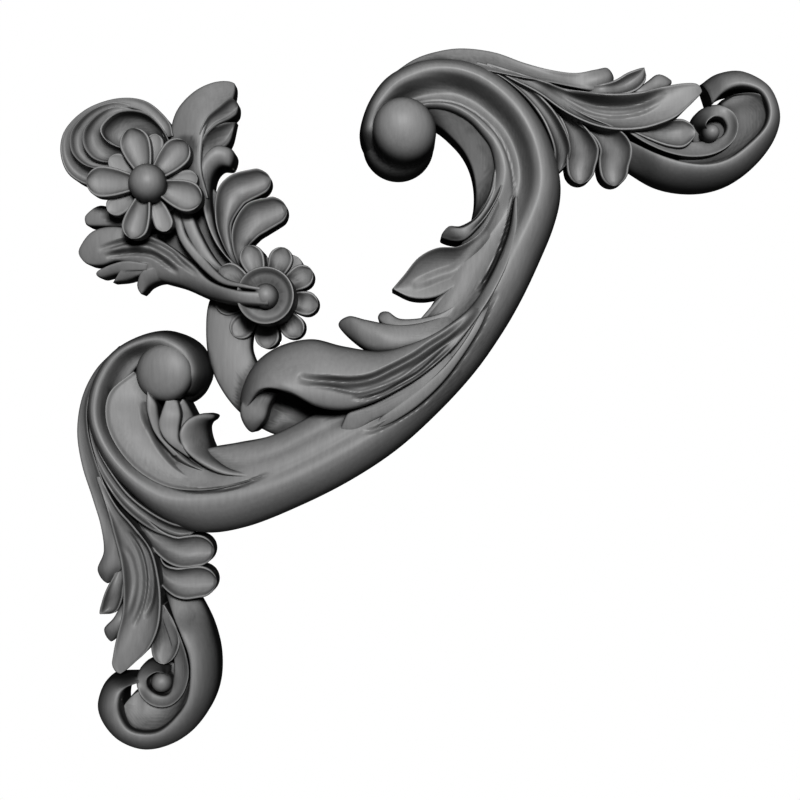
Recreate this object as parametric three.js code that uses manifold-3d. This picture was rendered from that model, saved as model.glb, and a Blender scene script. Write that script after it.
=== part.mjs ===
import * as THREE from 'three';
import { mergeVertices } from 'three/addons/utils/BufferGeometryUtils.js';
import Module from 'manifold-3d';

// Carved wood corner applique, one piece of wood with a flat back.
// The wall plane is XZ, X runs right and Z up; the relief stands toward -Y from its flat back at y = 0.

// Overall sizes in millimetres
const APPLIQUE_WIDTH = 282;
const RELIEF_DEPTH = 33;

// Sizes that the drawing below was made at
const DRAWN_WIDTH = 282;
const DRAWN_DEPTH = 33;

// Place on the drawing that becomes the middle of the back mount
const MOUNT_X = -10;
const MOUNT_Z = 10;

// Eyes at the two ends of the big scroll
const UPPER_EYE_RADIUS = 12.5;
const LOWER_EYE_RADIUS = 11.2;
const UPPER_EYE_HEIGHT = 30;
const LOWER_EYE_HEIGHT = 28;
const UPPER_SEAT_RADIUS = 14.2;
const LOWER_SEAT_RADIUS = 12.6;
const EYE_SEAT_RIM = 5;
const EYE_SEAT_HEIGHT = 18;

// Big flower of the sprig
const FLOWER_BUD_RADIUS = 7.3;
const FLOWER_BUD_RIM = 22;
const FLOWER_BUD_HEIGHT = 30;
const FLOWER_SEAT_RADIUS = 12;
const FLOWER_SEAT_RIM = 15;
const FLOWER_SEAT_HEIGHT = 17;
const FLOWER_PETAL_START = 3;
const FLOWER_PETAL_HEIGHT = 22.5;
const FLOWER_LOW_PETAL_HEIGHT = 19.5;
const FLOWER_PETAL_WIDTH = 11;
const FLOWER_LOW_PETAL_WIDTH = 8;
const FLOWER_PETAL_HOLLOW = 2.4;
const FLOWER_LOW_PETAL_HOLLOW = 0.5;
const PETAL_THICKNESS = 5.5;

// Small flower with a cup
const CUP_RADIUS = 11;
const CUP_HEIGHT = 24;
const CUP_HOLLOW = 5;
const CUP_LIP_DROP = 1.2;
const CUP_LIP_SHARE = 0.93;
const CUP_BOWL_SHARE = 0.7;
const CUP_BUD_RADIUS = 4.8;
const CUP_BUD_RIM = 21;
const CUP_BUD_HEIGHT = 27;
const CUP_PETAL_COUNT = 9;
const CUP_PETAL_REACH = 20.3;
const CUP_PETAL_WIDTH = 9.4;
const CUP_PETAL_HEIGHT = 9.5;
const CUP_PETAL_START = 6;
const CUP_PETAL_HOLLOW = 1.2;
const CUP_LOW_PETAL_REACH = 19.7;
const CUP_LOW_PETAL_WIDTH = 11;
const CUP_LOW_PETAL_HEIGHT = 6.5;

// Bed under the shell's ridges
const SHELL_BED_RADIUS = 9;
const SHELL_BED_RIM = 9;
const SHELL_BED_HEIGHT = 10;

// Eyes of the two small volutes
const RIGHT_VOLUTE_EYE_RADIUS = 3.5;
const LOWER_VOLUTE_EYE_RADIUS = 4.2;
const VOLUTE_EYE_RIM = 9;
const VOLUTE_EYE_HEIGHT = 14;

// Facets: rings per drawn span, points across a strip and sides of a round
const RINGS_PER_SPAN = 1.25;
const SCROLL_RINGS_PER_SPAN = 2;
const PROFILE_SHARES = [0, 0.06, 0.14, 0.24, 0.34, 0.44, 0.54, 0.66, 0.78, 0.9, 1];
const LOBE_POINTS = 4;
const LEAF_POINTS = 5;
const BROAD_POINTS = 6;
const ROUND_SIDES = 12;
const CUP_SIDES = 20;
const DOME_RINGS = 4;
const WELD_DISTANCE = 0.0001;
const TIDY_TOLERANCE = 0.4;
const POINTED_WIDTH = 0.01;

// Finish
const FINISH_COLOUR = 0x5f5f5f;

const planScale = APPLIQUE_WIDTH / DRAWN_WIDTH;
const depthScale = RELIEF_DEPTH / DRAWN_DEPTH;

const wasm = await Module();
wasm.setup();

// One number on a smooth curve through four neighbours
function smoothValue(a, b, c, d, s) {
  const bend = 2 * a - 5 * b + 4 * c - d;
  const twist = 3 * b - a - 3 * c + d;
  return b + 0.5 * s * (c - a + s * (bend + s * twist));
}

// The row that a strip would have one step before its first one
function rowBefore(rows) {
  return rows[0].map((value, k) => 2 * value - rows[1][k]);
}

// The row one step past the last one; a round tip turns back along the other edge
function rowAfter(rows, tip) {
  const last = rows[rows.length - 1];
  const previous = rows[rows.length - 2];
  if (tip !== 'round') {
    return last.map((value, k) => 2 * value - previous[k]);
  }
  const [leftX, leftZ, rightX, rightZ, leftRim, rightRim, crown] = previous;
  return [rightX, rightZ, leftX, leftZ, rightRim, leftRim, -crown];
}

// A row at a place between the drawn rows
function rowAt(rows, tip, place) {
  const span = Math.min(Math.floor(place), rows.length - 2);
  const a = span > 0 ? rows[span - 1] : rowBefore(rows);
  const d = span < rows.length - 2 ? rows[span + 2] : rowAfter(rows, tip);
  return rows[span].map((value, k) => smoothValue(a[k], value, rows[span + 1][k], d[k], place - span));
}

// Height of a strip's face over the line between its two rims, as a share of its crown
const FORMS = {
  round: (u) => Math.sqrt(Math.max(0, 1 - (2 * u - 1) ** 2)),
  scoop: (u) => (1 - (2 * u - 1) ** 2) ** 1.2,
  flat: () => 0,
};

// Closed body from rings of points that run across the face and back under it
function closeRings(rings) {
  const count = rings[0].length;
  const positions = rings.flat(2);
  const faces = [];
  for (let i = 0; i + 1 < rings.length; i += 1) {
    for (let j = 0; j < count; j += 1) {
      const k = (j + 1) % count;
      const a = i * count + j;
      const b = i * count + k;
      faces.push(a, b, b + count, a, b + count, a + count);
    }
  }
  const middle = Math.floor((count - 2) / 2);
  const addCap = (offset, withRing) => {
    const corners = [];
    for (let j = 0; j + 1 < count - 2; j += 1) {
      corners.push([j < middle ? count - 1 : count - 2, j, j + 1]);
    }
    corners.push([count - 1, middle, count - 2]);
    for (const [a, b, c] of corners) {
      const turned = withRing ? [a, b, c] : [c, b, a];
      faces.push(...turned.map((corner) => offset + corner));
    }
  };
  addCap(0, false);
  const lastRing = rings[rings.length - 1];
  const [rightFoot, leftFoot] = lastRing.slice(-2);
  if (Math.hypot(rightFoot[0] - leftFoot[0], rightFoot[2] - leftFoot[2]) > POINTED_WIDTH) {
    addCap((rings.length - 1) * count, true);
  }
  return bodyFrom(positions, faces);
}

// Welded, outward facing body
function bodyFrom(positions, faces) {
  const loose = new THREE.BufferGeometry();
  loose.setAttribute('position', new THREE.Float32BufferAttribute(positions, 3));
  loose.setIndex(faces);
  const welded = mergeVertices(loose, WELD_DISTANCE);
  const points = welded.attributes.position.array;
  const index = welded.index.array;
  const kept = [];
  let volume = 0;
  for (let i = 0; i < index.length; i += 3) {
    const [a, b, c] = [index[i], index[i + 1], index[i + 2]];
    if (a === b || b === c || c === a) {
      continue;
    }
    kept.push(a, b, c);
    const p = new THREE.Vector3().fromArray(points, 3 * a);
    const q = new THREE.Vector3().fromArray(points, 3 * b);
    const r = new THREE.Vector3().fromArray(points, 3 * c);
    volume += p.dot(q.cross(r));
  }
  if (volume < 0) {
    kept.reverse();
  }
  const mesh = new wasm.Mesh({
    numProp: 3,
    vertProperties: new Float32Array(points),
    triVerts: new Uint32Array(kept),
  });
  return new wasm.Manifold(mesh);
}

// A point of the relief from its drawn place and height
function placed(x, z, height) {
  return [(x - MOUNT_X) * planScale, -height * depthScale, (z - MOUNT_Z) * planScale];
}

// Carved strip between two drawn edges
// rows: [left x, left z, right x, right z, left rim, right rim, crown] from root to tip
function strip({ rows, form = 'scoop', tip = 'round', under = 0, points = LOBE_POINTS }) {
  const shape = FORMS[form];
  const steps = Math.round((rows.length - 1) * RINGS_PER_SPAN);
  const loops = [];
  for (let i = 0; i <= steps; i += 1) {
    const [lx, lz, rx, rz, leftRim, rightRim, crown] = rowAt(rows, tip, (i / steps) * (rows.length - 1));
    const loop = [];
    for (let j = 0; j < points; j += 1) {
      const u = (1 - Math.cos((Math.PI * j) / (points - 1))) / 2;
      const height = leftRim + (rightRim - leftRim) * u + crown * shape(u);
      loop.push(placed(lx + (rx - lx) * u, lz + (rz - lz) * u, Math.max(height, under + 1)));
    }
    loop.push(placed(rx, rz, under));
    loop.push(placed(lx, lz, under));
    loops.push(loop);
  }
  return closeRings(loops);
}

// Moulded band between two drawn edges with heights given at named stations
// rows: [outer x, outer z, inner x, inner z]; sections: { at, heights: one at each of PROFILE_SHARES }
function band({ rows, sections, rings }) {
  const steps = Math.round((rows.length - 1) * rings);
  const loops = [];
  for (let i = 0; i <= steps; i += 1) {
    const place = (i / steps) * (rows.length - 1);
    const [ox, oz, ix, iz] = rowAt(rows, 'open', place);
    let k = 0;
    while (k < sections.length - 2 && sections[k + 1].at <= place) {
      k += 1;
    }
    const share = Math.min(1, Math.max(0, (place - sections[k].at) / (sections[k + 1].at - sections[k].at)));
    const eased = share * share * (3 - 2 * share);
    const loop = PROFILE_SHARES.map((u, j) => {
      const height = sections[k].heights[j];
      const nextHeight = sections[k + 1].heights[j];
      return placed(ox + (ix - ox) * u, oz + (iz - oz) * u, height + (nextHeight - height) * eased);
    });
    loop.push(placed(ix, iz, 0));
    loop.push(placed(ox, oz, 0));
    loops.push(loop);
  }
  return closeRings(loops);
}

// Points up a domed round's side, from the foot of its wall to its top
function domeProfile(radius, rim, top) {
  const profile = [];
  for (let i = 0; i < DOME_RINGS; i += 1) {
    const angle = (Math.PI / 2) * (i / DOME_RINGS);
    profile.push([radius * Math.cos(angle), rim + (top - rim) * Math.sin(angle)]);
  }
  profile.push([0, top]);
  return profile;
}

// Points up a hollow cup's side, over its thin rim and down to its bottom
function cupProfile(radius, top, hollow) {
  return [
    [radius, top - CUP_LIP_DROP], [radius * CUP_LIP_SHARE, top],
    [radius * CUP_BOWL_SHARE, top - hollow * CUP_BOWL_SHARE], [0, top - hollow],
  ];
}

// Round body turned about an axis that stands out of the wall
function turned({ x, z, under = 0, profile, sides = ROUND_SIDES }) {
  const closed = [[0, under], [profile[0][0], under], ...profile];
  const loops = [];
  for (let i = 0; i <= sides; i += 1) {
    const angle = (2 * Math.PI * (i % sides)) / sides;
    loops.push(closed.map(([r, height]) => placed(x + r * Math.cos(angle), z + r * Math.sin(angle), height)));
  }
  const count = closed.length;
  const faces = [];
  for (let i = 0; i < sides; i += 1) {
    for (let j = 0; j + 1 < count; j += 1) {
      const a = i * count + j;
      faces.push(a, a + 1, a + count + 1, a, a + count + 1, a + count);
    }
  }
  return bodyFrom(loops.flat(2), faces);
}

// Half width of a petal along its length, as shares of its reach and of its greatest half width
const PETAL_OUTLINE = [[0, 0.42], [0.3, 0.78], [0.62, 1], [0.88, 0.78], [1, 0]];

// Share of a petal's hollow at its foot
const PETAL_FOOT_SHARE = 0.4;

// Petal from a flower's centre outward
function petal({ x, z, angle, start, reach, width, height, hollow, under }) {
  const turn = (angle * Math.PI) / 180;
  const along = [Math.cos(turn), Math.sin(turn)];
  const side = [-along[1], along[0]];
  const rows = PETAL_OUTLINE.map(([t, share]) => {
    const distance = start + (reach - start) * t;
    const half = (width / 2) * share;
    const cx = x + along[0] * distance;
    const cz = z + along[1] * distance;
    const depth = share === 0 ? 0 : -hollow * Math.min(1, PETAL_FOOT_SHARE + t);
    const left = [cx + side[0] * half, cz + side[1] * half];
    const right = [cx - side[0] * half, cz - side[1] * half];
    return [...left, ...right, height, height, depth];
  });
  return strip({ rows, under });
}

// The big scroll, from its upper eye over the top, down the corner's diagonal to its lower eye
const scrollRows = [
  [-20.3, 102.2, -14, 107], [-25.8, 112, -15, 112], [-23.5, 123.3, -11, 118], [-16.3, 133.9, -4, 121],
  [-4.2, 140.3, 3, 121.8], [8, 141.2, 10, 120.5], [20, 138.8, 16.5, 116.8], [31, 133, 21.5, 111.5],
  [40.5, 124.3, 24.5, 107], [48, 113, 26, 101.5], [52, 100, 26.2, 96], [52.7, 89, 24.5, 90],
  [50, 77.4, 21.3, 84.5], [44.8, 64.6, 17.3, 77.5], [37.9, 49.9, 11.5, 66], [30.1, 36.3, 4.8, 51],
  [19.3, 20.9, -4.5, 37], [5.4, 5.6, -15, 24.5], [-11.2, -9.4, -28, 12.5], [-29.7, -21.6, -43, 4.6],
  [-49.6, -31.6, -59.5, -3.6], [-69.8, -39.5, -74, -6.8], [-87, -41.8, -86, -9],
  [-102, -36.7, -97, -13], [-115, -26, -107, -11], [-124.5, -13.5, -114, -4], [-130, 1, -117.5, 5],
  [-129.5, 14, -116, 15], [-123.1, 26.7, -111, 23], [-112.2, 34.5, -106, 26], [-100, 37.2, -100, 27],
  [-88.7, 31.8, -96, 24], [-84.4, 21, -95, 20], [-88.5, 11.8, -97, 16],
];

// Heights across the big scroll, at PROFILE_SHARES of the way from its outer edge to its inner edge
const scrollSections = [
  { at: 0, heights: [5, 7, 8, 8, 8, 8, 8, 8, 8, 8, 8] },
  { at: 1.2, heights: [8, 13, 18, 21, 22.3, 22.6, 21.7, 18.9, 16.7, 15.6, 15] },
  { at: 3.4, heights: [14, 18.5, 21.8, 24.5, 25.4, 24.5, 21.3, 17.3, 17.3, 19.6, 18] },
  { at: 5.5, heights: [17, 20.4, 23, 25, 24.7, 21.2, 17.4, 16.5, 17.9, 20.5, 19] },
  { at: 10, heights: [10, 16, 20.3, 23.6, 24.9, 23.4, 19, 17.3, 19.8, 20.4, 18] },
  { at: 14, heights: [10, 16, 20.2, 23.4, 24.9, 24.4, 21.5, 19.2, 18.4, 17.3, 15] },
  { at: 18, heights: [10, 15.6, 19.3, 22.8, 24.8, 24.6, 23.2, 22.7, 20.7, 19, 15.5] },
  { at: 22, heights: [10, 15, 18.8, 22.2, 24.3, 24.8, 22.8, 20.2, 18.9, 17.3, 15] },
  { at: 26, heights: [14, 18.5, 21.4, 23.8, 24.7, 24.4, 22.6, 19, 17.2, 16.3, 15] },
  { at: 28.4, heights: [12, 17, 20.5, 22.7, 23.5, 23, 21.1, 18.5, 17.3, 17, 17] },
  { at: 30.5, heights: [8, 14.3, 18, 20.9, 22.1, 22.2, 21.1, 18.7, 17.3, 17.4, 18] },
  { at: 32, heights: [7, 12.7, 16.8, 19.4, 20.9, 21, 19.9, 17.4, 16.4, 16.8, 17] },
  { at: 33, heights: [4, 6, 8, 8, 8, 8, 8, 8, 8, 8, 8] },
];

// Low sloping fillet inside the top of the big scroll
const innerFillet = { form: 'flat', tip: 'sharp', points: 3, rows: [
  [-3, 121.7, -2, 118.5, 17, 14, 0], [2.9, 122.5, 4.6, 116.5, 18, 14, 0],
  [9.9, 121.5, 10.6, 111.5, 18, 14, 0], [16.9, 117.5, 14.9, 106.4, 18, 14, 0],
  [23.8, 110.5, 17.8, 100.4, 18, 14, 0], [27.8, 101.6, 19.3, 93.4, 18, 14, 0],
  [26.8, 92.6, 19.3, 86.4, 18, 14, 0], [21.9, 83.7, 18.1, 80.3, 18, 14, 0],
] };

// Leaves inside the right half of the big scroll
const innerLeaves = [
  { points: LEAF_POINTS, rows: [
    [29.8, 97.6, 26.3, 98.8, 19, 18, 0], [28.7, 90.4, 24.2, 89.1, 20, 19, -1],
    [25.2, 83.3, 19.1, 80.3, 20, 20, -1.2], [20.6, 76.8, 13.1, 76.5, 20, 21, -1],
    [14.1, 71.3, 8.6, 76.6, 20, 20, 0.5], [6.2, 72.9, 6.2, 72.9, 18, 18, 0],
  ] },
  { points: LEAF_POINTS, tip: 'sharp', rows: [
    [33.6, 88.1, 29.6, 93.2, 20, 20, 0], [31.6, 78, 26.2, 83.9, 20, 21, -2],
    [28.6, 66.9, 20.8, 74.1, 19, 22, -3], [20.6, 58.4, 12.7, 68.6, 18, 22, -3.5],
    [11.9, 53.6, 4.1, 67.8, 18, 22, -4], [3.3, 49.4, -2.9, 64.4, 17, 20, -3],
    [-5.4, 49.2, -8.5, 57.9, 16, 18, -1.5], [-13.1, 52.7, -13.1, 52.7, 16, 16, 0],
  ] },
  { points: 4, form: 'flat', rows: [
    [32.7, 80.3, 27.2, 75.3, 20, 20, 0], [27.8, 65.4, 20.2, 62.3, 19, 19.5, 0],
    [20.8, 53.9, 12.2, 54.4, 18, 18, 0], [11.2, 45.7, 5.2, 49.5, 17, 17, 0],
    [-1.9, 40.9, -1.9, 41.6, 16, 16, 0],
  ], tip: 'open' },
];

// Big curled leaf over the middle of the scroll, with its upper lobes and lower leaflets
const bigLeaf = [
  { points: BROAD_POINTS, form: 'round', rows: [
    [33.9, 87.7, 35, 87.7, 21, 21, 0], [31.4, 75.4, 33.5, 75.1, 21, 23, 0.5],
    [27.3, 64.2, 30.4, 63.3, 21, 24, 1], [20.6, 54.3, 25.6, 52, 22, 25, 1.5],
    [10.4, 45.7, 19.5, 41.3, 22, 26, 2], [-0.8, 38.5, 10.4, 29.6, 22, 27, 2.5],
    [-10, 31.9, 0.3, 20.6, 22, 27, 3.5], [-20.2, 28.4, -10, 14, 21, 27, 5],
    [-31.5, 30.5, -20.1, 9, 20, 27, 6.5], [-43.9, 33.3, -30.6, 6.2, 19, 27, 8.5],
    [-56.3, 30.6, -41.1, 7.4, 18, 28, 9], [-65.6, 23.9, -51.2, 12.4, 18, 28, 7],
    [-70.9, 13.6, -61.4, 13.8, 17, 27, 4], [-71.4, 3.8, -69.7, 4.9, 17, 18, 0.5],
  ], tip: 'open' },
  { points: 5, form: 'round', rows: [
    [-67.4, 14.1, -57.2, 12.6, 20, 19, 3], [-71.1, 7.9, -59.9, 7.9, 19, 18, 3],
    [-70.6, 1.7, -61.8, 2.3, 17, 17, 2.5], [-67.1, -2.5, -67.1, -2.5, 14, 14, 0],
  ] },
  { points: LEAF_POINTS, rows: [
    [18.5, 44.6, 14.5, 48.2, 23, 22, 0], [10.3, 37.9, 4.3, 41.6, 24, 22, 0.5],
    [2.2, 33.6, -5.9, 38.9, 24, 21, 1], [-5.9, 30.6, -15.1, 39.3, 23, 20, 1.5],
    [-14.1, 28.6, -23.3, 40.9, 22, 19, 2], [-23.3, 29.3, -30.1, 42.4, 20, 18, 2],
    [-33.7, 38.4, -33.7, 38.4, 17, 17, 0],
  ], form: 'round' },
  { points: LOBE_POINTS, rows: [
    [10.3, 40.4, 14.4, 48.6, 22, 21, 0], [2.2, 36.4, 6.3, 43.6, 22, 20, 0.5],
    [-5.9, 35.4, -1.8, 41.5, 21, 19, 1], [-13.1, 36.5, -10, 41.3, 20, 18, 1],
    [-18.2, 40.7, -14.6, 44.1, 18, 17, 0.5], [-17.7, 43.7, -17.7, 43.7, 17, 17, 0],
  ], form: 'round' },
  { points: LOBE_POINTS, form: 'round', tip: 'sharp', rows: [
    [12.2, 24.1, 8.1, 28.1, 23, 24, 0], [4.1, 16.6, -2, 20, 22, 24, 1], [-6, 9.5, -12, 14, 21, 24, 1],
    [-14.1, 4.9, -21.1, 9, 20, 23, 1], [-20.2, 1.9, -29.2, 5.5, 19.5, 22, 1],
    [-27.3, -2.2, -31.8, 1.4, 19, 20, 0.5], [-33.4, -2.2, -33.4, -2.2, 18, 18, 0],
  ] },
  { points: LOBE_POINTS, form: 'round', tip: 'sharp', rows: [
    [24.2, 46.3, 20.1, 42.2, 23, 24, 0], [19.7, 36.2, 14.1, 32.1, 23, 24, 0.5],
    [12.7, 25.1, 6.1, 22.1, 22, 23, 1], [5.7, 16.1, -3.9, 13.5, 21, 22, 1],
    [-2.9, 8, -12, 7.5, 20, 21, 1], [-12, 1.9, -17.9, 2.9, 19, 20, 0.5],
    [-19.5, -1.5, -19.5, -1.5, 18, 18, 0],
  ] },
];

// Leaf inside the left end of the big scroll
const leftLeaf = [
  { points: BROAD_POINTS, tip: 'open', rows: [
    [-62.1, -19, -63.3, -18.4, 23, 22, 0], [-73.3, -22.5, -69.4, -18.8, 22, 21, -0.5],
    [-85.4, -24.4, -78.6, -17.7, 22, 20, -1], [-98.4, -23, -88.7, -14.2, 22, 20, -1.5],
    [-110, -16.6, -96, -8.2, 22, 19, -2], [-118, -7.1, -100.1, -1.1, 22, 19, -2],
    [-121.8, 3, -102.1, 4.9, 22, 19, -1.5], [-120.5, 13, -103.4, 10, 21, 19, -1],
    [-112.5, 21, -104.9, 15, 17, 17, 0],
  ] },
  { points: LOBE_POINTS, form: 'round', tip: 'sharp', rows: [
    [-97, -11.2, -94, -11.2, 19, 19, 0], [-103.2, -3.1, -100.4, -4.1, 21, 20, 0.5],
    [-105.8, 4, -101.9, 3.4, 22, 20, 1], [-106.5, 9, -102.7, 9, 22, 21, 1],
    [-106.1, 13.7, -106.1, 13.7, 22, 22, 0],
  ] },
  { points: LOBE_POINTS, form: 'round', tip: 'open', rows: [
    [-91.1, -12.3, -89.1, -10.3, 18, 18, 0], [-98.6, -6.1, -93.8, -6.2, 21, 20, 0.5],
    [-102, -0.1, -94.3, -1.1, 21, 20, 1], [-101.1, 5, -93.6, 4.4, 21, 20, 1],
    [-99.4, 10.3, -95, 9.8, 20, 19, 0],
  ] },
  { points: LOBE_POINTS, form: 'round', tip: 'round', rows: [
    [-94.8, -8.4, -88, -6.4, 15, 13, 1], [-96.6, -0.2, -88, -0.3, 16, 13, 1.5],
    [-96.1, 5.9, -90.6, 5.4, 16, 13, 1], [-93.8, 10.5, -93.8, 10.5, 15, 15, 0],
  ] },
  { points: LEAF_POINTS, form: 'round', rows: [
    [-62, -19, -62, -18.6, 22, 22, 0], [-70, -19.2, -67.1, -17.5, 22, 21, 1],
    [-79.2, -17.9, -74.5, -16, 21, 19, 2.5], [-87.4, -13.6, -80.7, -11.9, 20, 15, 4],
    [-93.1, -8.1, -83.9, -6.4, 19, 9, 3.5], [-94.4, -2.1, -85.1, -1.3, 19, 8, 4],
    [-91.3, 2.9, -84.4, 1.2, 17, 9, 3.5], [-85.9, 4.9, -82.6, 2.6, 14, 11, 1.5],
    [-82.2, 4.2, -82.2, 4.2, 11, 11, 0],
  ] },
];

// Right end: ribbons off the scroll's shoulder, upper and lower lobes, long leaf
const rightLobes = [
  { form: 'scoop', rows: [
    [-16, 133.7, -14.5, 132.7, 15, 15, 0], [-5, 141.4, -4.1, 136.8, 15, 18, 0],
    [4.9, 145.1, 6.3, 137.5, 14, 19.5, 0], [14.8, 146.2, 16.2, 137, 14, 20, -0.3],
    [26.8, 144.6, 26.6, 135, 14, 20, -0.8], [37.9, 140.7, 37.2, 133.3, 14, 19, -1.2],
    [48, 138, 47.7, 132.4, 14, 16, -1], [58.2, 137.3, 58, 131.3, 13, 14, -1],
    [66.4, 139.2, 66.7, 130.6, 12, 13, 0.5], [71.6, 140.5, 72.4, 132.9, 11, 12, 1],
    [74.4, 137.2, 74.4, 137.2, 10, 10, 0],
  ] },
  { rows: [
    [59.5, 133.1, 59.5, 129.7, 12, 12, 0], [67.5, 132.9, 68.3, 128.2, 12, 13, -0.5],
    [73.5, 134.6, 76.2, 128.3, 11.5, 13, -1.5], [78.6, 137.6, 82.3, 130.5, 11, 12.5, -1.5],
    [83.2, 139.4, 85.8, 134.8, 10.5, 11.5, -1], [85.6, 140.1, 85.6, 140.1, 10, 10, 0],
  ], tip: 'sharp' },
  { form: 'round', rows: [
    [75.6, 129.4, 76.6, 127.3, 12, 12, 0], [81.6, 130.9, 83.6, 128.4, 12, 12, 0.5],
    [87, 135, 90.3, 130.9, 10, 11, 1.5], [91.6, 138.1, 95.5, 133, 9.5, 10, 1.5],
    [97.2, 136.1, 97.2, 136.1, 9, 9, 0],
  ] },
  { points: LEAF_POINTS, rows: [
    [19.6, 140, 19.6, 138.2, 18, 18, 0], [29.4, 136.7, 29.4, 133, 18, 19, -1],
    [39.3, 130.6, 37.8, 126.4, 18, 18, -1.5], [47.8, 123, 43.7, 119, 17.5, 18, -2],
    [53.3, 115.3, 47.2, 112.1, 17, 18, -2.5], [56.5, 108.3, 49.3, 106.4, 15, 17, -2.5],
    [55.8, 102.8, 50.1, 101.9, 12.5, 15, -2], [51.8, 98.8, 51.8, 98.8, 11, 11, 0],
  ], tip: 'sharp' },
  { points: LEAF_POINTS, rows: [
    [45.7, 130.4, 43.7, 128.4, 15, 15, 0], [54.7, 122.5, 50.2, 121.5, 15, 15, -1.5],
    [62.3, 115.3, 55, 114.5, 14.5, 13.5, -2.5], [67.2, 109.2, 56.8, 108.2, 13, 11.5, -3],
    [68.1, 103.6, 56.1, 103.1, 11, 9.5, -3], [65.8, 97.9, 57.1, 98.2, 8.5, 7, -2],
    [60.5, 95.1, 60.5, 95.1, 6, 6, 0],
  ] },
  { points: LEAF_POINTS, rows: [
    [54, 126, 50, 124, 14, 14, 0], [64, 120, 58, 117.5, 14, 14, -1.5],
    [74.7, 114.9, 64.8, 112, 14.5, 13.5, -2.5], [80.1, 110.2, 68.6, 107.5, 13, 12, -3],
    [81.2, 104.4, 68.3, 102.8, 12, 10, -3], [79.1, 97.6, 70.1, 96.7, 9, 7, -2],
    [73.8, 94, 73.8, 94, 6, 6, 0],
  ] },
  { points: BROAD_POINTS, rows: [
    [23.4, 139.6, 23.4, 137.9, 18, 18, 0], [33.2, 136.6, 33.1, 132.4, 17.5, 19, -0.5],
    [43.1, 133.5, 42.9, 127.3, 17, 19, -1.5], [53.1, 130.8, 52.8, 120.7, 16, 18, -3],
    [63.1, 129.1, 63.1, 116, 15, 17, -3.5], [73.2, 128.7, 72.9, 114.2, 14, 15.5, -3],
    [83.4, 129.7, 83, 114.7, 13, 14.5, -2], [92.4, 131.8, 91.3, 117, 12.5, 14, -1],
    [100, 133.2, 97.9, 120.3, 12, 13.5, -0.3], [105.6, 133.1, 104.3, 126.3, 11.5, 12.5, 0],
    [107.7, 130.2, 107.7, 130.2, 11, 11, 0],
  ] },
];

// Right volute: rolled stem, pan inside it, spiral with its eye, and the drop beside it
const rightVolute = [
  { points: BROAD_POINTS, form: 'round', tip: 'open', rows: [
    [70.7, 107.9, 73, 117, 3, 4, 1], [81, 100.5, 79.6, 111.7, 3, 9, 3],
    [91.2, 94.6, 89.1, 105.1, 5, 15, 5], [102.3, 92.2, 98.9, 101.6, 5, 16.5, 5.5],
    [113.4, 92.9, 107.8, 100.7, 5, 17, 5.5], [123.5, 97, 115.7, 102.8, 5, 17, 5.5],
    [132.6, 105.1, 123.1, 108, 5, 17, 5.5], [138.2, 114.2, 129.5, 114.8, 5, 17, 5.5],
    [139.3, 123.3, 130.9, 121.4, 5, 17, 5.5], [134.8, 133.4, 127.9, 128, 6, 17, 5.5],
    [124.6, 139.4, 121.3, 130.5, 8, 17, 5], [115, 138.6, 115.7, 129, 10, 16.5, 4],
    [108.7, 134.7, 111.8, 125.2, 11, 16, 3],
  ] },
  { form: 'scoop', rows: [
    [98.5, 102, 100.3, 108.1, 13, 9, -0.5], [109.1, 101, 110.4, 107.6, 14.5, 9.5, -1.5],
    [118, 103.6, 116.2, 110.9, 14.5, 10, -2], [125.6, 108.8, 119.8, 114.9, 14.5, 10, -2.5],
    [131, 115.8, 120.3, 118.5, 14.5, 10, -2.5], [132, 122.8, 118.8, 122.1, 14.5, 10, -2.5],
    [128, 127.8, 116.5, 124.5, 14.5, 10.5, -2], [121.5, 129, 115.5, 125.9, 14, 11, -0.5],
    [115.2, 126.6, 115.2, 126.6, 12, 12, 0],
  ] },
  { form: 'scoop', tip: 'open', rows: [
    [78.2, 114.5, 80.4, 117, 12, 11, 0], [86, 109.5, 88.4, 114, 13, 9, -0.5],
    [95, 105.8, 96.7, 111.7, 13, 8, -0.5], [104, 104.4, 104.9, 111.6, 13, 7.5, -0.7],
    [112.5, 105.7, 111.9, 112.2, 13, 8, -0.7], [119, 110, 116.3, 113.6, 13, 8.5, -0.7],
    [121.5, 116.3, 117.9, 116.8, 13, 9, -0.7], [119.6, 122.3, 116.2, 119.8, 12, 10, -0.5],
    [114.1, 125.8, 112.8, 120.3, 9, 12, 0], [108.2, 124.4, 109.9, 118.7, 5, 13.5, 0],
    [105.2, 119, 108.7, 116.5, 3, 14, 0], [107.7, 113.9, 110, 114.3, 3, 13, 0],
  ] },
  { points: LEAF_POINTS, rows: [
    [80.2, 116.7, 80, 114.5, 11, 12, 0], [88.2, 117.7, 87.5, 111, 11, 12, -1.5],
    [95, 119.5, 94.5, 108.6, 10, 12, -2.5], [100.6, 119.9, 100.4, 108.4, 9.5, 11.5, -2],
    [104.4, 117.6, 104.4, 111.7, 9.5, 10.5, -0.5], [105.6, 114.6, 105.6, 114.6, 9.5, 9.5, 0],
  ] },
];

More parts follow.
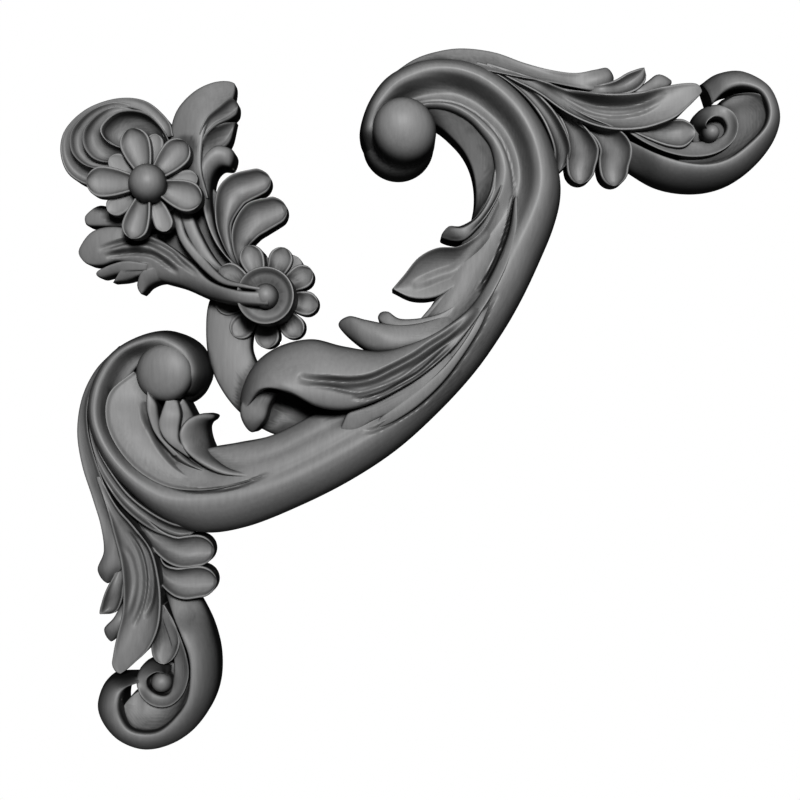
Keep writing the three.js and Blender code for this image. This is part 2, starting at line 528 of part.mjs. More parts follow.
// Lower end, nearly the same carving turned down the other wall edge
const lowerLobes = [
  { form: 'scoop', rows: [
    [-118.5, 30.9, -119.5, 29.4, 15, 15, 0], [-127.2, 21.9, -125.1, 19.9, 16, 18, 0],
    [-132.6, 11, -129.3, 9.5, 16, 19, -0.4], [-134.5, -1.9, -129.3, -1.8, 16, 19, -0.8],
    [-133, -14.9, -126.6, -13.7, 15, 18, -1], [-129.2, -27.9, -122.4, -25.7, 14, 17, -1],
    [-126.2, -39, -119.2, -36.8, 13, 15, -1], [-125.7, -49.1, -118.3, -48, 12, 13, -0.5],
    [-128.8, -56.8, -118.6, -55.7, 11, 12, 0.8], [-125.4, -62.4, -125.4, -62.4, 9, 9, 0],
  ] },
  { rows: [
    [-120.2, -54.6, -116.3, -54.6, 12, 12, 0], [-124.5, -63.7, -115, -61.3, 11, 13, -1],
    [-126.9, -70.2, -116.3, -67.4, 10.5, 12.5, -1.5], [-127.7, -72.8, -121, -72.9, 10, 11, -1],
    [-127.6, -73.9, -127.6, -73.9, 9.5, 9.5, 0],
  ], tip: 'sharp' },
  { form: 'round', rows: [
    [-117.5, -69.6, -115, -69.6, 12, 12, 0], [-121.9, -75.1, -115.5, -75.1, 11, 12, 0.5],
    [-126.3, -80.1, -118.1, -80.3, 9.5, 11, 1.5], [-124.1, -85.4, -124.1, -85.4, 9, 9, 0],
  ] },
  { points: LEAF_POINTS, rows: [
    [-130, 3, -128.5, 3, 17, 17, 0], [-129, -7.9, -125.9, -7.8, 17, 18, -0.8],
    [-124.7, -19.3, -120.5, -17.7, 17, 18, -1.2], [-118.2, -29.4, -113.5, -26.5, 17, 18, -1.8],
    [-110.9, -36.7, -105.3, -33.2, 16.5, 17, -2], [-103.3, -41.9, -98.1, -37.4, 15, 16, -2],
    [-95.2, -44, -92.5, -39, 13, 14, -1.2], [-86.7, -39.9, -86.7, -39.9, 12, 12, 0],
  ], tip: 'sharp' },
  { points: LEAF_POINTS, rows: [
    [-121, -30, -119, -29, 15, 15, 0], [-114, -38.5, -110, -35.5, 15, 15, -1],
    [-107.7, -47.1, -102.8, -41.7, 14, 13.5, -2], [-101.1, -54.7, -96.9, -44.1, 13.5, 12, -3],
    [-94.5, -57.1, -91.2, -43.8, 11.5, 10, -3], [-86.6, -54.3, -86.2, -45, 8, 7, -2],
    [-83.1, -49.1, -83.1, -49.1, 5.5, 5.5, 0],
  ] },
  { points: LEAF_POINTS, rows: [
    [-116.5, -38.2, -114, -36.2, 14, 14, 0], [-110.5, -49.3, -107, -46.3, 14, 14, -1],
    [-104.9, -61.7, -102.4, -54.1, 13.5, 13, -2.5], [-99.1, -67.7, -97.3, -56.5, 13, 11.5, -3],
    [-92.7, -70, -90.5, -56, 11.5, 10, -3], [-85.6, -67.3, -85.4, -57.7, 8.5, 7, -2],
    [-82.2, -62.2, -82.2, -62.2, 5.5, 5.5, 0],
  ] },
  { points: BROAD_POINTS, rows: [
    [-127.1, -19.5, -125.1, -19.5, 17, 17, 0], [-122.7, -32.3, -118.8, -30.2, 17, 18.5, -0.8],
    [-120.3, -42.3, -111.4, -39.1, 16, 18, -2], [-118, -52.3, -105.4, -48, 15, 17, -3],
    [-117.3, -62.3, -103, -58, 14, 16, -3.3], [-117.8, -72.4, -102.3, -68.1, 13, 15, -2.8],
    [-120, -81.5, -103.5, -78.1, 12.5, 14.3, -1.8], [-121.5, -88.5, -107.2, -86.2, 12, 13.7, -0.8],
    [-122, -93.6, -112.7, -91.7, 11.5, 12.5, -0.2], [-119, -96.7, -119, -96.7, 11, 11, 0],
  ] },
];

const lowerVolute = [
  { points: BROAD_POINTS, form: 'round', tip: 'open', rows: [
    [-94.8, -58.6, -104.2, -62.2, 3, 4, 1], [-87.4, -70.9, -99.3, -73.1, 3, 9.5, 3],
    [-83.3, -80, -94.6, -80.4, 5, 15.5, 5], [-81, -90.1, -91.3, -88.9, 5, 16.5, 5.5],
    [-81.3, -101.3, -90.8, -97.4, 5, 17, 5.5], [-84.9, -111.4, -92.2, -105.4, 5, 17, 5.5],
    [-91.9, -120.5, -96.6, -111.8, 5, 17, 5.5], [-101, -126, -102.1, -116.4, 5, 17, 5.5],
    [-111.2, -127.6, -108.1, -117.4, 5, 17, 5.5], [-121.1, -123.4, -113.7, -115.7, 5.5, 17, 5.5],
    [-127.6, -115.1, -116.9, -110.8, 6, 17, 5.5], [-128.3, -106.8, -117.4, -105.4, 7, 17, 5.5],
    [-123.8, -98.8, -115.7, -101.2, 9, 16, 4.5], [-111.6, -97.6, -110.9, -100.2, 8, 12, 1.5],
  ] },
  { form: 'scoop', rows: [
    [-90.2, -100, -94.6, -99.8, 14, 9.5, -0.5], [-94.6, -110.4, -98.5, -106.3, 14.5, 9.5, -1.5],
    [-101, -117.4, -104, -108.4, 14.5, 10, -2.5], [-108.3, -118.6, -109.4, -106.4, 14.5, 10, -2.5],
    [-114.4, -116.4, -112.2, -103.6, 14.5, 10, -2], [-117.7, -109.5, -117.7, -109.5, 13, 13, 0],
  ] },
  { form: 'scoop', tip: 'open', rows: [
    [-101, -71, -103.2, -74.2, 12, 11, 0], [-95.4, -81.8, -100.1, -84.7, 13, 9, -0.5],
    [-92.6, -90.8, -98.8, -92.9, 13, 8, -0.7], [-92.1, -97.8, -99.1, -99.5, 13, 8, -0.7],
    [-94.6, -104.7, -100.2, -104.4, 13, 8.5, -0.7], [-99.8, -109, -102.6, -105.8, 13, 9, -0.7],
    [-106.3, -108.7, -106.1, -104.7, 13, 9.5, -0.7], [-111.1, -104.2, -108.5, -102.2, 13, 10, -0.5],
    [-113.1, -99, -108.3, -98.5, 10, 12, 0], [-111.4, -94.4, -105.2, -95.9, 6, 13.5, 0],
    [-106.3, -92.2, -102.1, -95.7, 4, 14, 0], [-100.1, -93.9, -100.1, -97.1, 4, 13, 0],
  ] },
  { points: LEAF_POINTS, rows: [
    [-103.2, -70, -101.6, -69.8, 11, 12, 0], [-104.8, -78, -97.6, -76.6, 11, 12, -1.5],
    [-107.2, -85.2, -95.5, -83.8, 10, 12, -2.5], [-106.3, -91.3, -97.8, -90.3, 9.5, 11, -1],
    [-102.3, -93.4, -102.3, -93.4, 9.5, 9.5, 0],
  ] },
];

// Sprig: shell of nested curls behind the big flower
const shell = [
  { points: LEAF_POINTS, rows: [
    [-97.7, 112.2, -101.2, 112.2, 14, 14, 0], [-99.7, 118.3, -103.5, 115, 14, 15, -0.5],
    [-108.2, 125.7, -108.8, 119.7, 14, 16, -0.8], [-119.5, 127.2, -117.7, 120.7, 13, 16, -1],
    [-131.8, 123.4, -126.5, 117, 12, 15, 1], [-140.8, 115.9, -131.3, 111.2, 10, 14, 3],
    [-143.1, 107.3, -132.1, 106.4, 9, 13, 3.5], [-140.1, 98.7, -130.3, 101.6, 9, 12, 3],
    [-132.2, 93.9, -124.8, 98.1, 9, 12, 2], [-121.3, 93, -118.8, 96.6, 10, 12, 0],
  ], form: 'round', tip: 'open' },
  { points: LEAF_POINTS, rows: [
    [-102.8, 121.6, -104, 119, 13, 13.5, 0], [-117.5, 125, -115.5, 119.7, 16, 17.5, 0.5],
    [-129.3, 119.5, -123.2, 114.3, 14, 17, 1.5], [-133.8, 112.2, -125.5, 110.5, 13, 16, 2],
    [-133.3, 106.2, -125.2, 106.8, 13, 15, 2], [-129.3, 102.2, -123, 104.5, 13, 14, 1],
    [-119.3, 101.2, -118.3, 103.7, 13, 13, 0],
  ], form: 'round', tip: 'open' },
  { points: LEAF_POINTS, rows: [
    [-101.6, 118.6, -103.6, 116, 13.5, 14, 0], [-115.5, 123.3, -113.5, 118.4, 17, 17.5, 0.5],
    [-123.7, 119.5, -118, 115.5, 17, 18, 1], [-126.7, 114.8, -119.7, 112.8, 16, 17, 1.5],
    [-125.2, 110.8, -118.7, 110.8, 15, 17, 1.5], [-116.8, 107.3, -114.8, 109.3, 15, 15, 0],
  ], form: 'round', tip: 'open' },
  { points: LEAF_POINTS, rows: [
    [-97.3, 107.8, -102, 108, 19, 14, 0], [-99, 115, -105, 111.5, 20, 14, -1],
    [-106.1, 121.4, -108.5, 112.5, 20, 14, -1.5], [-114, 122.9, -111.9, 112.4, 20, 14.5, -2],
    [-120.4, 119.9, -114.3, 110.8, 20, 15, -2], [-122.7, 115.3, -115.3, 108.8, 19, 15, -1.5],
    [-118.2, 109.8, -114.8, 106.8, 17, 15, 0],
  ], tip: 'open' },
];

// Sprig: upright leaf with its lobes
const uprightLeaf = [
  { points: LEAF_POINTS, form: 'round', rows: [
    [-88.4, 88.4, -84, 88, 13, 15, 0], [-96.4, 98.4, -86.3, 98.8, 13, 16, 1],
    [-99.3, 110.7, -85.8, 109.8, 12, 16, 1.5], [-97.5, 122, -83.5, 118, 11, 15, 2],
    [-90.7, 130.4, -79.7, 122.3, 10, 12, 2], [-82.3, 135, -75.8, 127, 8, 8, 1.2],
    [-75.3, 134.9, -75.3, 134.9, 5.5, 5.5, 0],
  ] },
  { form: 'scoop', rows: [
    [-88.1, 101.3, -86.7, 99.5, 15, 14, 0], [-87.5, 111.3, -85.7, 109.6, 15.5, 14, -0.5],
    [-84.5, 118.5, -81.5, 116.7, 15, 12, -1], [-80.1, 124.2, -76.2, 121.3, 11, 6.5, -1.2],
    [-76.2, 128.8, -74.6, 124.6, 8, 5, -0.8], [-74.2, 127.3, -74.2, 127.3, 5, 5, 0],
  ] },
  { form: 'scoop', rows: [
    [-89.1, 96.2, -86.7, 95.4, 15, 14, 0], [-88, 105.2, -84, 104, 15.5, 12, -0.5],
    [-85, 113.4, -79.8, 107.5, 13, 7.5, -1], [-80.1, 117.8, -77.4, 111.8, 10, 5.5, -1],
    [-75.3, 121.6, -75.3, 121.6, 5, 5, 0],
  ], tip: 'sharp' },
  { points: LEAF_POINTS, form: 'round', rows: [
    [-74.4, 61.7, -72.5, 61.8, 14, 13, 0], [-81.5, 70.8, -77.6, 66.9, 14, 13, 1],
    [-85.6, 81, -81.8, 77.2, 14, 12, 1.5], [-87.8, 92.3, -83.5, 89.7, 13, 11, 2.5],
    [-87.8, 101.5, -82.7, 97, 13, 10, 3.5], [-82.3, 108.5, -79.9, 100.6, 12, 10, 4],
    [-76.4, 108.3, -76, 100.9, 11, 10, 3], [-74.5, 105.4, -74.5, 105.4, 10, 10, 0],
  ] },
  { points: LEAF_POINTS, rows: [
    [-73.7, 60.6, -71.7, 61.6, 13, 13, 0], [-78.6, 69.6, -74.4, 67.8, 14, 12, -1.5],
    [-81.7, 79.6, -75.6, 78.1, 14, 11, -2.5], [-81.2, 91.1, -71.3, 85.6, 13, 11.5, -3],
    [-76.3, 97.6, -65.8, 88.6, 11, 9, -3], [-68, 99.9, -61.3, 93, 9, 7.5, -2],
    [-61, 97.6, -61, 97.6, 6.5, 6.5, 0],
  ] },
  { points: LEAF_POINTS, rows: [
    [-72, 58.8, -68.1, 62, 13, 12, 0], [-75.2, 68.8, -69.2, 68.7, 14, 11, -1.5],
    [-74.9, 78.1, -65.9, 73.4, 13, 9, -2.5], [-69.9, 86.6, -59.9, 76.6, 11, 9, -3],
    [-61.4, 89.9, -54.8, 80.6, 9, 7.5, -2], [-53.9, 86.3, -53.9, 86.3, 6.5, 6.5, 0],
  ] },
];

// Sprig: spreading leaf at the left, whose stem runs into the small flower's bud
const spreadingLeaf = [
  { points: BROAD_POINTS, form: 'round', rows: [
    [-59.7, 50.7, -59.7, 45.1, 24, 24, 1], [-71.7, 51.3, -72, 46.4, 22, 20, 2],
    [-82.2, 55.5, -83.8, 49.2, 18, 14, 3], [-90.6, 63.3, -94.6, 53.8, 15, 10, 4],
    [-100, 70.5, -104.9, 56.9, 13, 9, 4], [-110.2, 75.4, -112.9, 61.5, 12, 9, 3.5],
    [-121.5, 77.7, -119.8, 63.9, 11, 10, 3], [-130.3, 75.8, -126.6, 62.5, 10, 9, 2.5],
    [-135.6, 69.5, -132.1, 63, 9, 9, 1], [-135.2, 66, -135.2, 66, 9, 9, 0],
  ] },
  { form: 'round', rows: [
    [-108, 63, -108.2, 60.1, 14, 13, 0], [-116.2, 64.1, -116.7, 59.8, 13, 11, 0.5],
    [-122.8, 62.9, -122.5, 58.7, 11, 8, 1], [-128.4, 60.6, -126.9, 57.7, 9, 7, 1],
    [-129, 58.9, -129, 58.9, 8, 8, 0],
  ] },
  { form: 'round', tip: 'sharp', rows: [
    [-103.4, 63.2, -103.7, 60.4, 14, 13, 0], [-110.7, 63.9, -111.2, 58.6, 13, 11, 0.5],
    [-117.6, 62, -117, 56.7, 11.5, 8, 1], [-122.8, 56.1, -122.8, 56.1, 8, 8, 0],
  ] },
  { form: 'round', rows: [
    [-95.2, 62.1, -96, 56, 14, 10, 1], [-103.4, 62.2, -103.8, 56.1, 13, 9, 1.5],
    [-110.2, 60.3, -108.1, 54.5, 12, 8, 1.5], [-113, 55.1, -110.1, 52.5, 9, 8, 1],
    [-111.6, 51.6, -111.6, 51.6, 8, 8, 0],
  ] },
  { form: 'round', rows: [
    [-104.4, 80.3, -104.4, 76.3, 12, 12, 0], [-118.8, 83.5, -118.8, 77.5, 11, 11, 0.5],
    [-127.3, 86.2, -128.4, 77.8, 9, 9, 1.5], [-133, 83, -132.7, 78.4, 8, 8, 1],
    [-133.5, 80.5, -133.5, 80.5, 8, 8, 0],
  ] },
  { form: 'round', points: 4, tip: 'open', rows: [
    [-69.2, 54, -69.2, 52.2, 20, 20, 0.5], [-77.4, 57.1, -78.9, 54.6, 18, 18, 1],
    [-85.8, 65.4, -88.3, 62.4, 15, 15, 1], [-92.5, 74, -95.5, 72, 14, 14, 1],
    [-95, 84, -98.5, 83, 14, 14, 0.5],
  ] },
  { form: 'round', points: 4, tip: 'open', rows: [
    [-73.9, 57.9, -75.8, 57.4, 15, 15, 0.5], [-80.5, 63.5, -84, 61.5, 14, 14, 1.2],
    [-86, 72, -90.5, 70, 14, 14, 1.2], [-90, 82, -95, 81, 14, 14, 1], [-90, 92, -96, 91, 14, 14, 0.5],
  ] },
];

// Back stem from behind the small flower down under the big leaf's curl to the scroll
const backStem = { form: 'round', points: LOBE_POINTS, tip: 'open', rows: [
  [-66.9, 67.4, -50.1, 62.8, 6, 6, 1], [-79.1, 58.8, -55.7, 50.6, 6, 6, 2.5],
  [-85.2, 49.1, -64.9, 44.6, 6, 6, 3], [-86.5, 37.4, -67.9, 36.4, 6, 6, 3],
  [-85.2, 25.2, -68.2, 28.8, 6, 6, 3], [-80.4, 14.1, -63.7, 21.4, 6, 6, 3],
  [-73, 4.9, -55, 18.4, 6, 6, 3], [-62.8, -2.2, -45.4, 14.2, 6, 6, 3],
  [-50.6, -6.3, -35.5, 10, 6, 6, 3],
] };

// Low wood that closes the sprig behind its stems, and the bed under the shell's ridges
const sprigWeb = { form: 'flat', points: 3, tip: 'open', rows: [
  [-72, 47, -61, 56, 7, 7, 0], [-90, 58, -68.5, 69, 7, 7, 0], [-102, 67, -76, 84, 7, 7, 0],
  [-110, 76, -83, 93, 7, 7, 0],
] };
const shellBed = { x: -122.5, z: 106.5, profile: domeProfile(SHELL_BED_RADIUS, SHELL_BED_RIM, SHELL_BED_HEIGHT) };

// Petals of the big flower: direction in degrees, reach from its centre, share of the full width
const flower = { x: -105.7, z: 92.3 };
const flowerPetals = [
  [178, 23.4, 1], [108, 21.8, 0.98], [47, 21.4, 0.94], [-18.5, 21.5, 1], [-106.7, 22, 0.86],
];
const flowerLowPetals = [
  [146, 18.5, 1], [83.5, 19.6, 0.9], [8, 18.6, 0.95], [-70, 19, 0.95], [-148, 19, 1.05],
];

// Small flower, the directions of its first petal and of the low petal behind them
const cup = { x: -61, z: 49.6 };
const CUP_FIRST_PETAL = 30;
const CUP_LOW_PETAL = 53;
const cupPetalRing = { x: -62, z: 50.5 };

const bodies = [band({ rows: scrollRows, sections: scrollSections, rings: SCROLL_RINGS_PER_SPAN })];
bodies.push(strip(innerFillet));
const carvedGroups = [
  innerLeaves, bigLeaf, leftLeaf, rightLobes, rightVolute, lowerLobes, lowerVolute, shell, uprightLeaf,
  spreadingLeaf,
];
for (const spec of carvedGroups.flat()) {
  bodies.push(strip(spec));
}
bodies.push(strip(backStem));
bodies.push(strip(sprigWeb));
bodies.push(turned(shellBed));

// Rounded eyes: the seat around each eye and the eye itself
const eyes = [
  { x: -10.7, z: 111.1, profile: domeProfile(UPPER_SEAT_RADIUS, EYE_SEAT_RIM, EYE_SEAT_HEIGHT) },
  { x: -8.6, z: 113, profile: domeProfile(UPPER_EYE_RADIUS, EYE_SEAT_HEIGHT, UPPER_EYE_HEIGHT) },
  { x: -97.5, z: 20.5, profile: domeProfile(LOWER_SEAT_RADIUS, EYE_SEAT_RIM, EYE_SEAT_HEIGHT) },
  { x: -99.8, z: 20.2, profile: domeProfile(LOWER_EYE_RADIUS, EYE_SEAT_HEIGHT, LOWER_EYE_HEIGHT) },
  { x: 111.3, z: 114.4, profile: domeProfile(RIGHT_VOLUTE_EYE_RADIUS, VOLUTE_EYE_RIM, VOLUTE_EYE_HEIGHT) },
  { x: -103.1, z: -100, profile: domeProfile(LOWER_VOLUTE_EYE_RADIUS, VOLUTE_EYE_RIM, VOLUTE_EYE_HEIGHT) },
];
for (const eye of eyes) {
  bodies.push(turned(eye));
}

// Big flower
bodies.push(turned({ ...flower, profile: domeProfile(FLOWER_SEAT_RADIUS, FLOWER_SEAT_RIM, FLOWER_SEAT_HEIGHT) }));
bodies.push(turned({ ...flower, profile: domeProfile(FLOWER_BUD_RADIUS, FLOWER_BUD_RIM, FLOWER_BUD_HEIGHT) }));
for (const [angle, reach, share] of flowerPetals) {
  bodies.push(petal({
    ...flower, angle, reach, start: FLOWER_PETAL_START, width: FLOWER_PETAL_WIDTH * share,
    height: FLOWER_PETAL_HEIGHT, hollow: FLOWER_PETAL_HOLLOW, under: FLOWER_PETAL_HEIGHT - PETAL_THICKNESS,
  }));
}
for (const [angle, reach, share] of flowerLowPetals) {
  bodies.push(petal({
    ...flower, angle, reach, start: FLOWER_PETAL_START, width: FLOWER_LOW_PETAL_WIDTH * share,
    height: FLOWER_LOW_PETAL_HEIGHT, hollow: FLOWER_LOW_PETAL_HOLLOW,
    under: FLOWER_LOW_PETAL_HEIGHT - PETAL_THICKNESS,
  }));
}

// Small flower with its cup and bud
bodies.push(turned({ ...cup, sides: CUP_SIDES, profile: cupProfile(CUP_RADIUS, CUP_HEIGHT, CUP_HOLLOW) }));
bodies.push(turned({ ...cup, profile: domeProfile(CUP_BUD_RADIUS, CUP_BUD_RIM, CUP_BUD_HEIGHT) }));
bodies.push(petal({
  ...cupPetalRing, angle: CUP_LOW_PETAL, start: CUP_PETAL_START, reach: CUP_LOW_PETAL_REACH,
  width: CUP_LOW_PETAL_WIDTH, height: CUP_LOW_PETAL_HEIGHT, hollow: 0,
}));
for (let i = 0; i < CUP_PETAL_COUNT; i += 1) {
  bodies.push(petal({
    ...cupPetalRing, angle: CUP_FIRST_PETAL + (360 / CUP_PETAL_COUNT) * i, start: CUP_PETAL_START,
    reach: CUP_PETAL_REACH, width: CUP_PETAL_WIDTH, height: CUP_PETAL_HEIGHT, hollow: CUP_PETAL_HOLLOW,
  }));
}

let applique = bodies[0];
for (const body of bodies.slice(1)) {
  applique = applique.add(body);
}
applique = applique.simplify(TIDY_TOLERANCE);

// The wood's outer skin alone, without specks of air sealed between the joined strips
const skins = applique.decompose();
applique = skins.reduce((largest, skin) => (skin.volume() > largest.volume() ? skin : largest));

const solid = applique.getMesh();
const geometry = new THREE.BufferGeometry();
geometry.setAttribute('position', new THREE.BufferAttribute(solid.vertProperties, 3));
geometry.setIndex(new THREE.BufferAttribute(solid.triVerts, 1));
geometry.computeVertexNormals();

const finish = new THREE.MeshStandardMaterial({ color: FINISH_COLOUR, roughness: 0.45, metalness: 0 });
const mesh = new THREE.Mesh(geometry, finish);
mesh.name = 'corner_applique';

const group = new THREE.Group();
group.name = 'wood_corner_applique';
group.add(mesh);

export default group;
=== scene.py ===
"""Carved wood corner applique: the fine carving and its finish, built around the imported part.

Drawn places are in millimetres on the wall plane, heights in millimetres out of the wall.
"""

from __future__ import annotations

import logging
import math
from dataclasses import dataclass
from enum import Enum

import bpy
import numpy as np
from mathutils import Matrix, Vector

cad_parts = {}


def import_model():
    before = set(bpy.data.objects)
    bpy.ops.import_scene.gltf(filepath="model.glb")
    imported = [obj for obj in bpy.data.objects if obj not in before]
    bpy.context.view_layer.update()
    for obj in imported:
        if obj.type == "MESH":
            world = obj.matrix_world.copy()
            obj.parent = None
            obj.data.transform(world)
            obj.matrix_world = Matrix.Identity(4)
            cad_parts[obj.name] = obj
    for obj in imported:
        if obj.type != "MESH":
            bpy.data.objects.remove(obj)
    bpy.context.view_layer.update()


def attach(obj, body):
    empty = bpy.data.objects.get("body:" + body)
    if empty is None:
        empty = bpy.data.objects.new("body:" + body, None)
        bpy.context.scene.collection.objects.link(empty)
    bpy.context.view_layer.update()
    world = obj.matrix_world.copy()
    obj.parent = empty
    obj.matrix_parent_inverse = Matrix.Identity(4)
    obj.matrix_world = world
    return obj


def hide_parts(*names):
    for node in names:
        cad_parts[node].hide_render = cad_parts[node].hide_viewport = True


log = logging.getLogger("applique")

MM = 0.001

# Drawn place that lies at the frame's origin, in the middle of the flat back
MOUNT = (-10.0, 10.0)

# Spacing of the facets, how many may lie across a strip, and the most triangles left in the end
ACROSS_STEP = 0.55
ALONG_STEP = 1.15
FEWEST_ACROSS = 6
MOST_ACROSS = 60
TIP_STEPS = 4
MOST_TRIANGLES = 192_000
WELD_DIGITS = 4
SMOOTH_ANGLE = 32.0

# Softened top edge of every side wall, where its facets lie, and its most as a share of a strip
EDGE_RADIUS = 0.8
EDGE_SHARES = (0.0, 0.08, 0.3, 0.62, 1.0)
EDGE_MOST = 0.3

# Strips narrower than these have a shallower bowl, a thinner level rim and a lower raised rim
BOWL_FULL_WIDTH = 8.0
LAND_FULL_WIDTH = 6.0
BEAD_FULL_WIDTH = 5.0

# Breadth of a raised rim, and the powers that shape rims, scoops and bowls
BEAD_BREADTH = 1.7
BEAD_POWER = 1.3
SCOOP_POWER = 1.2
BOWL_POWER = 2.6

# Breadth of a petal at shares of its length up to its round end, the share of its bowl at its
# foot, and the level rim round a hollow petal
PETAL_SHAPE = ((0, 0.38), (0.33, 0.66), (0.67, 0.9), (1, 1.0))
PETAL_FOOT = 0.4
PETAL_LAND = 0.9

# Turns in degrees at which a round end gets its rows, points over a dome, and how late a
# leaning dome leans
END_TURNS = (30, 60, 90)
DOME_POINTS = 22
LEAN_POWER = 1.5

# An end wider than this is closed by a fan
OPEN_END = 0.01

# Least wood left over the underside of a strip
LEAST_WOOD = 0.8

# Spacing of the points along a cut, the share of it that fades out at each end, and its power
CUT_STEP = 0.6
CUT_FADE = 0.18
CUT_FADE_POWER = 0.6

# Shares across the big scroll, from its outer edge, at which its profiles are given
PROFILE_SHARES = (0, 0.05, 0.12, 0.2, 0.28, 0.36, 0.44, 0.52, 0.6, 0.68, 0.76, 0.84, 0.92, 1)
PROFILE_SAMPLES = 241
PROFILE_SOFTNESS = 14

CAMERA_DISTANCE = 0.444
CAMERA_VIEW_ANGLE = 39.6
PICTURE_GAMMA = 0.8


class Form(Enum):
    """Cross-section of a strip's face."""

    ROUND = "round"
    SCOOP = "scoop"
    BOWL = "bowl"
    FLAT = "flat"


class Tip(Enum):
    """How a strip ends."""

    ROUND = "round"
    SHARP = "sharp"
    OPEN = "open"


@dataclass(frozen=True)
class Cut:
    """Knife or gouge line on a face; a negative depth leaves a fine ridge.

    Attributes:
        points: drawn places that the line runs through.
        depth: greatest depth in millimetres.
        width: full width in millimetres.
    """

    points: tuple
    depth: float
    width: float


@dataclass(frozen=True)
class Strip:
    """Carved strip between two drawn edges.

    Attributes:
        rows: (left x, left z, right x, right z, left rim, right rim, crown) from root to tip.
        form: cross-section of the face.
        tip: how the strip ends.
        under: height of its underside.
        bead: (left, right) height of the raised rim along each edge.
        cuts: lines carved into its face.
        gain: how many times deeper or fuller than the drawn crown.
        lean: over one moves the deepest line to the right edge, under one to the left.
        land: width of the level rim left along both edges.
        fine: share of the usual facet spacing, under one where thin lines are cut.
    """

    rows: tuple
    form: Form = Form.SCOOP
    tip: Tip = Tip.ROUND
    under: float = 0.0
    bead: tuple = (0.0, 0.0)
    cuts: tuple = ()
    gain: float = 1.0
    lean: float = 1.0
    land: float = 0.0
    fine: float = 1.0


def smooth_rows(rows: np.ndarray, places: np.ndarray, tip: Tip) -> np.ndarray:
    """Reads a smooth curve through the rows.

    Args:
        rows: drawn rows, one per line.
        places: where to read them, counted in rows.
        tip: how the far end goes on.

    Returns:
        One row of values for each place.
    """
    before = 2 * rows[0] - rows[1]
    if tip is Tip.ROUND:
        after = rows[-2][[2, 3, 0, 1, 5, 4, 6]] * np.array([1, 1, 1, 1, 1, 1, -1])
    else:
        after = 2 * rows[-1] - rows[-2]
    padded = np.vstack([before, rows, after])
    span = np.clip(np.floor(places).astype(int), 0, len(rows) - 2)
    s = (places - span)[:, None]
    a, b, c, d = (padded[span + k] for k in range(4))
    return b + 0.5 * s * (c - a + s * (2 * a - 5 * b + 4 * c - d + s * (3 * b - a - 3 * c + d)))


def smooth_line(points: tuple) -> np.ndarray:
    """Fine points along a smooth line through drawn points."""
    drawn = np.array(points, float)
    if len(drawn) < 3:
        return drawn
    length = np.linalg.norm(np.diff(drawn, axis=0), axis=1).sum()
    places = np.linspace(0, len(drawn) - 1, max(8, int(length / CUT_STEP)))
    return smooth_rows(drawn, places, Tip.OPEN)


def row_spans(rows: np.ndarray) -> np.ndarray:
    """Distances from each drawn row to the next, along the middle."""
    middle = (rows[:, 0:2] + rows[:, 2:4]) / 2
    return np.linalg.norm(np.diff(middle, axis=0), axis=1)


def line_depth(x: np.ndarray, z: np.ndarray, cut: Cut) -> np.ndarray:
    """Depth that a cut takes off at each drawn place.

    Args:
        x: drawn places.
        z: drawn places.
        cut: the cut, which fades out at both of its ends.

    Returns:
        One depth for each place.
    """
    line = smooth_line(cut.points)
    start, run = line[:-1], np.diff(line, axis=0)
    length = np.maximum(np.linalg.norm(run, axis=1), 1e-6)
    place = np.stack([x.ravel(), z.ravel()], 1)
    nearest = np.full(len(place), 1e9)
    along = np.zeros(len(place))
    walked = np.concatenate([[0], np.cumsum(length)])
    for k in range(len(run)):
        share = np.clip(((place - start[k]) @ run[k]) / length[k] ** 2, 0, 1)
        gap = np.linalg.norm(place - start[k] - share[:, None] * run[k], axis=1)
        closer = gap < nearest
        nearest[closer] = gap[closer]
        along[closer] = ((walked[k] + share * length[k]) / walked[-1])[closer]
    section = np.clip(1 - 2 * nearest / cut.width, 0, 1)
    fade = np.clip(np.minimum(along, 1 - along) / CUT_FADE, 0, 1) ** CUT_FADE_POWER
    return (cut.depth * section**2 * (3 - 2 * section) * fade).reshape(x.shape)


def edge_places(width: float, inner: int) -> np.ndarray:
    """Distances across a strip, close together at both of its softened edges."""
    radius = min(EDGE_RADIUS, width * EDGE_MOST)
    near = np.array(EDGE_SHARES) * radius
    middle = np.linspace(radius, width - radius, inner + 2)[1:-1]
    return np.concatenate([near, middle, width - near[::-1]])


def softened(face: np.ndarray, radius: np.ndarray | float) -> np.ndarray:
    """Drop of the face towards its edges.

    Args:
        face: (ring, point, values) with the distance from the nearer edge as the last value.
        radius: breadth of the softened edge.

    Returns:
        How far each point drops.
    """
    rest = np.clip(1 - face[..., 3] / radius, 0, 1)
    return EDGE_RADIUS * (1 - np.sqrt(1 - rest**2))


def with_feet(face: np.ndarray, under: float) -> np.ndarray:
    """Closes the rings of a face with two points on its underside."""
    feet = face[:, [-1, 0], :3].copy()
    feet[..., 1] = under
    return np.concatenate([face[..., :3], feet], axis=1)


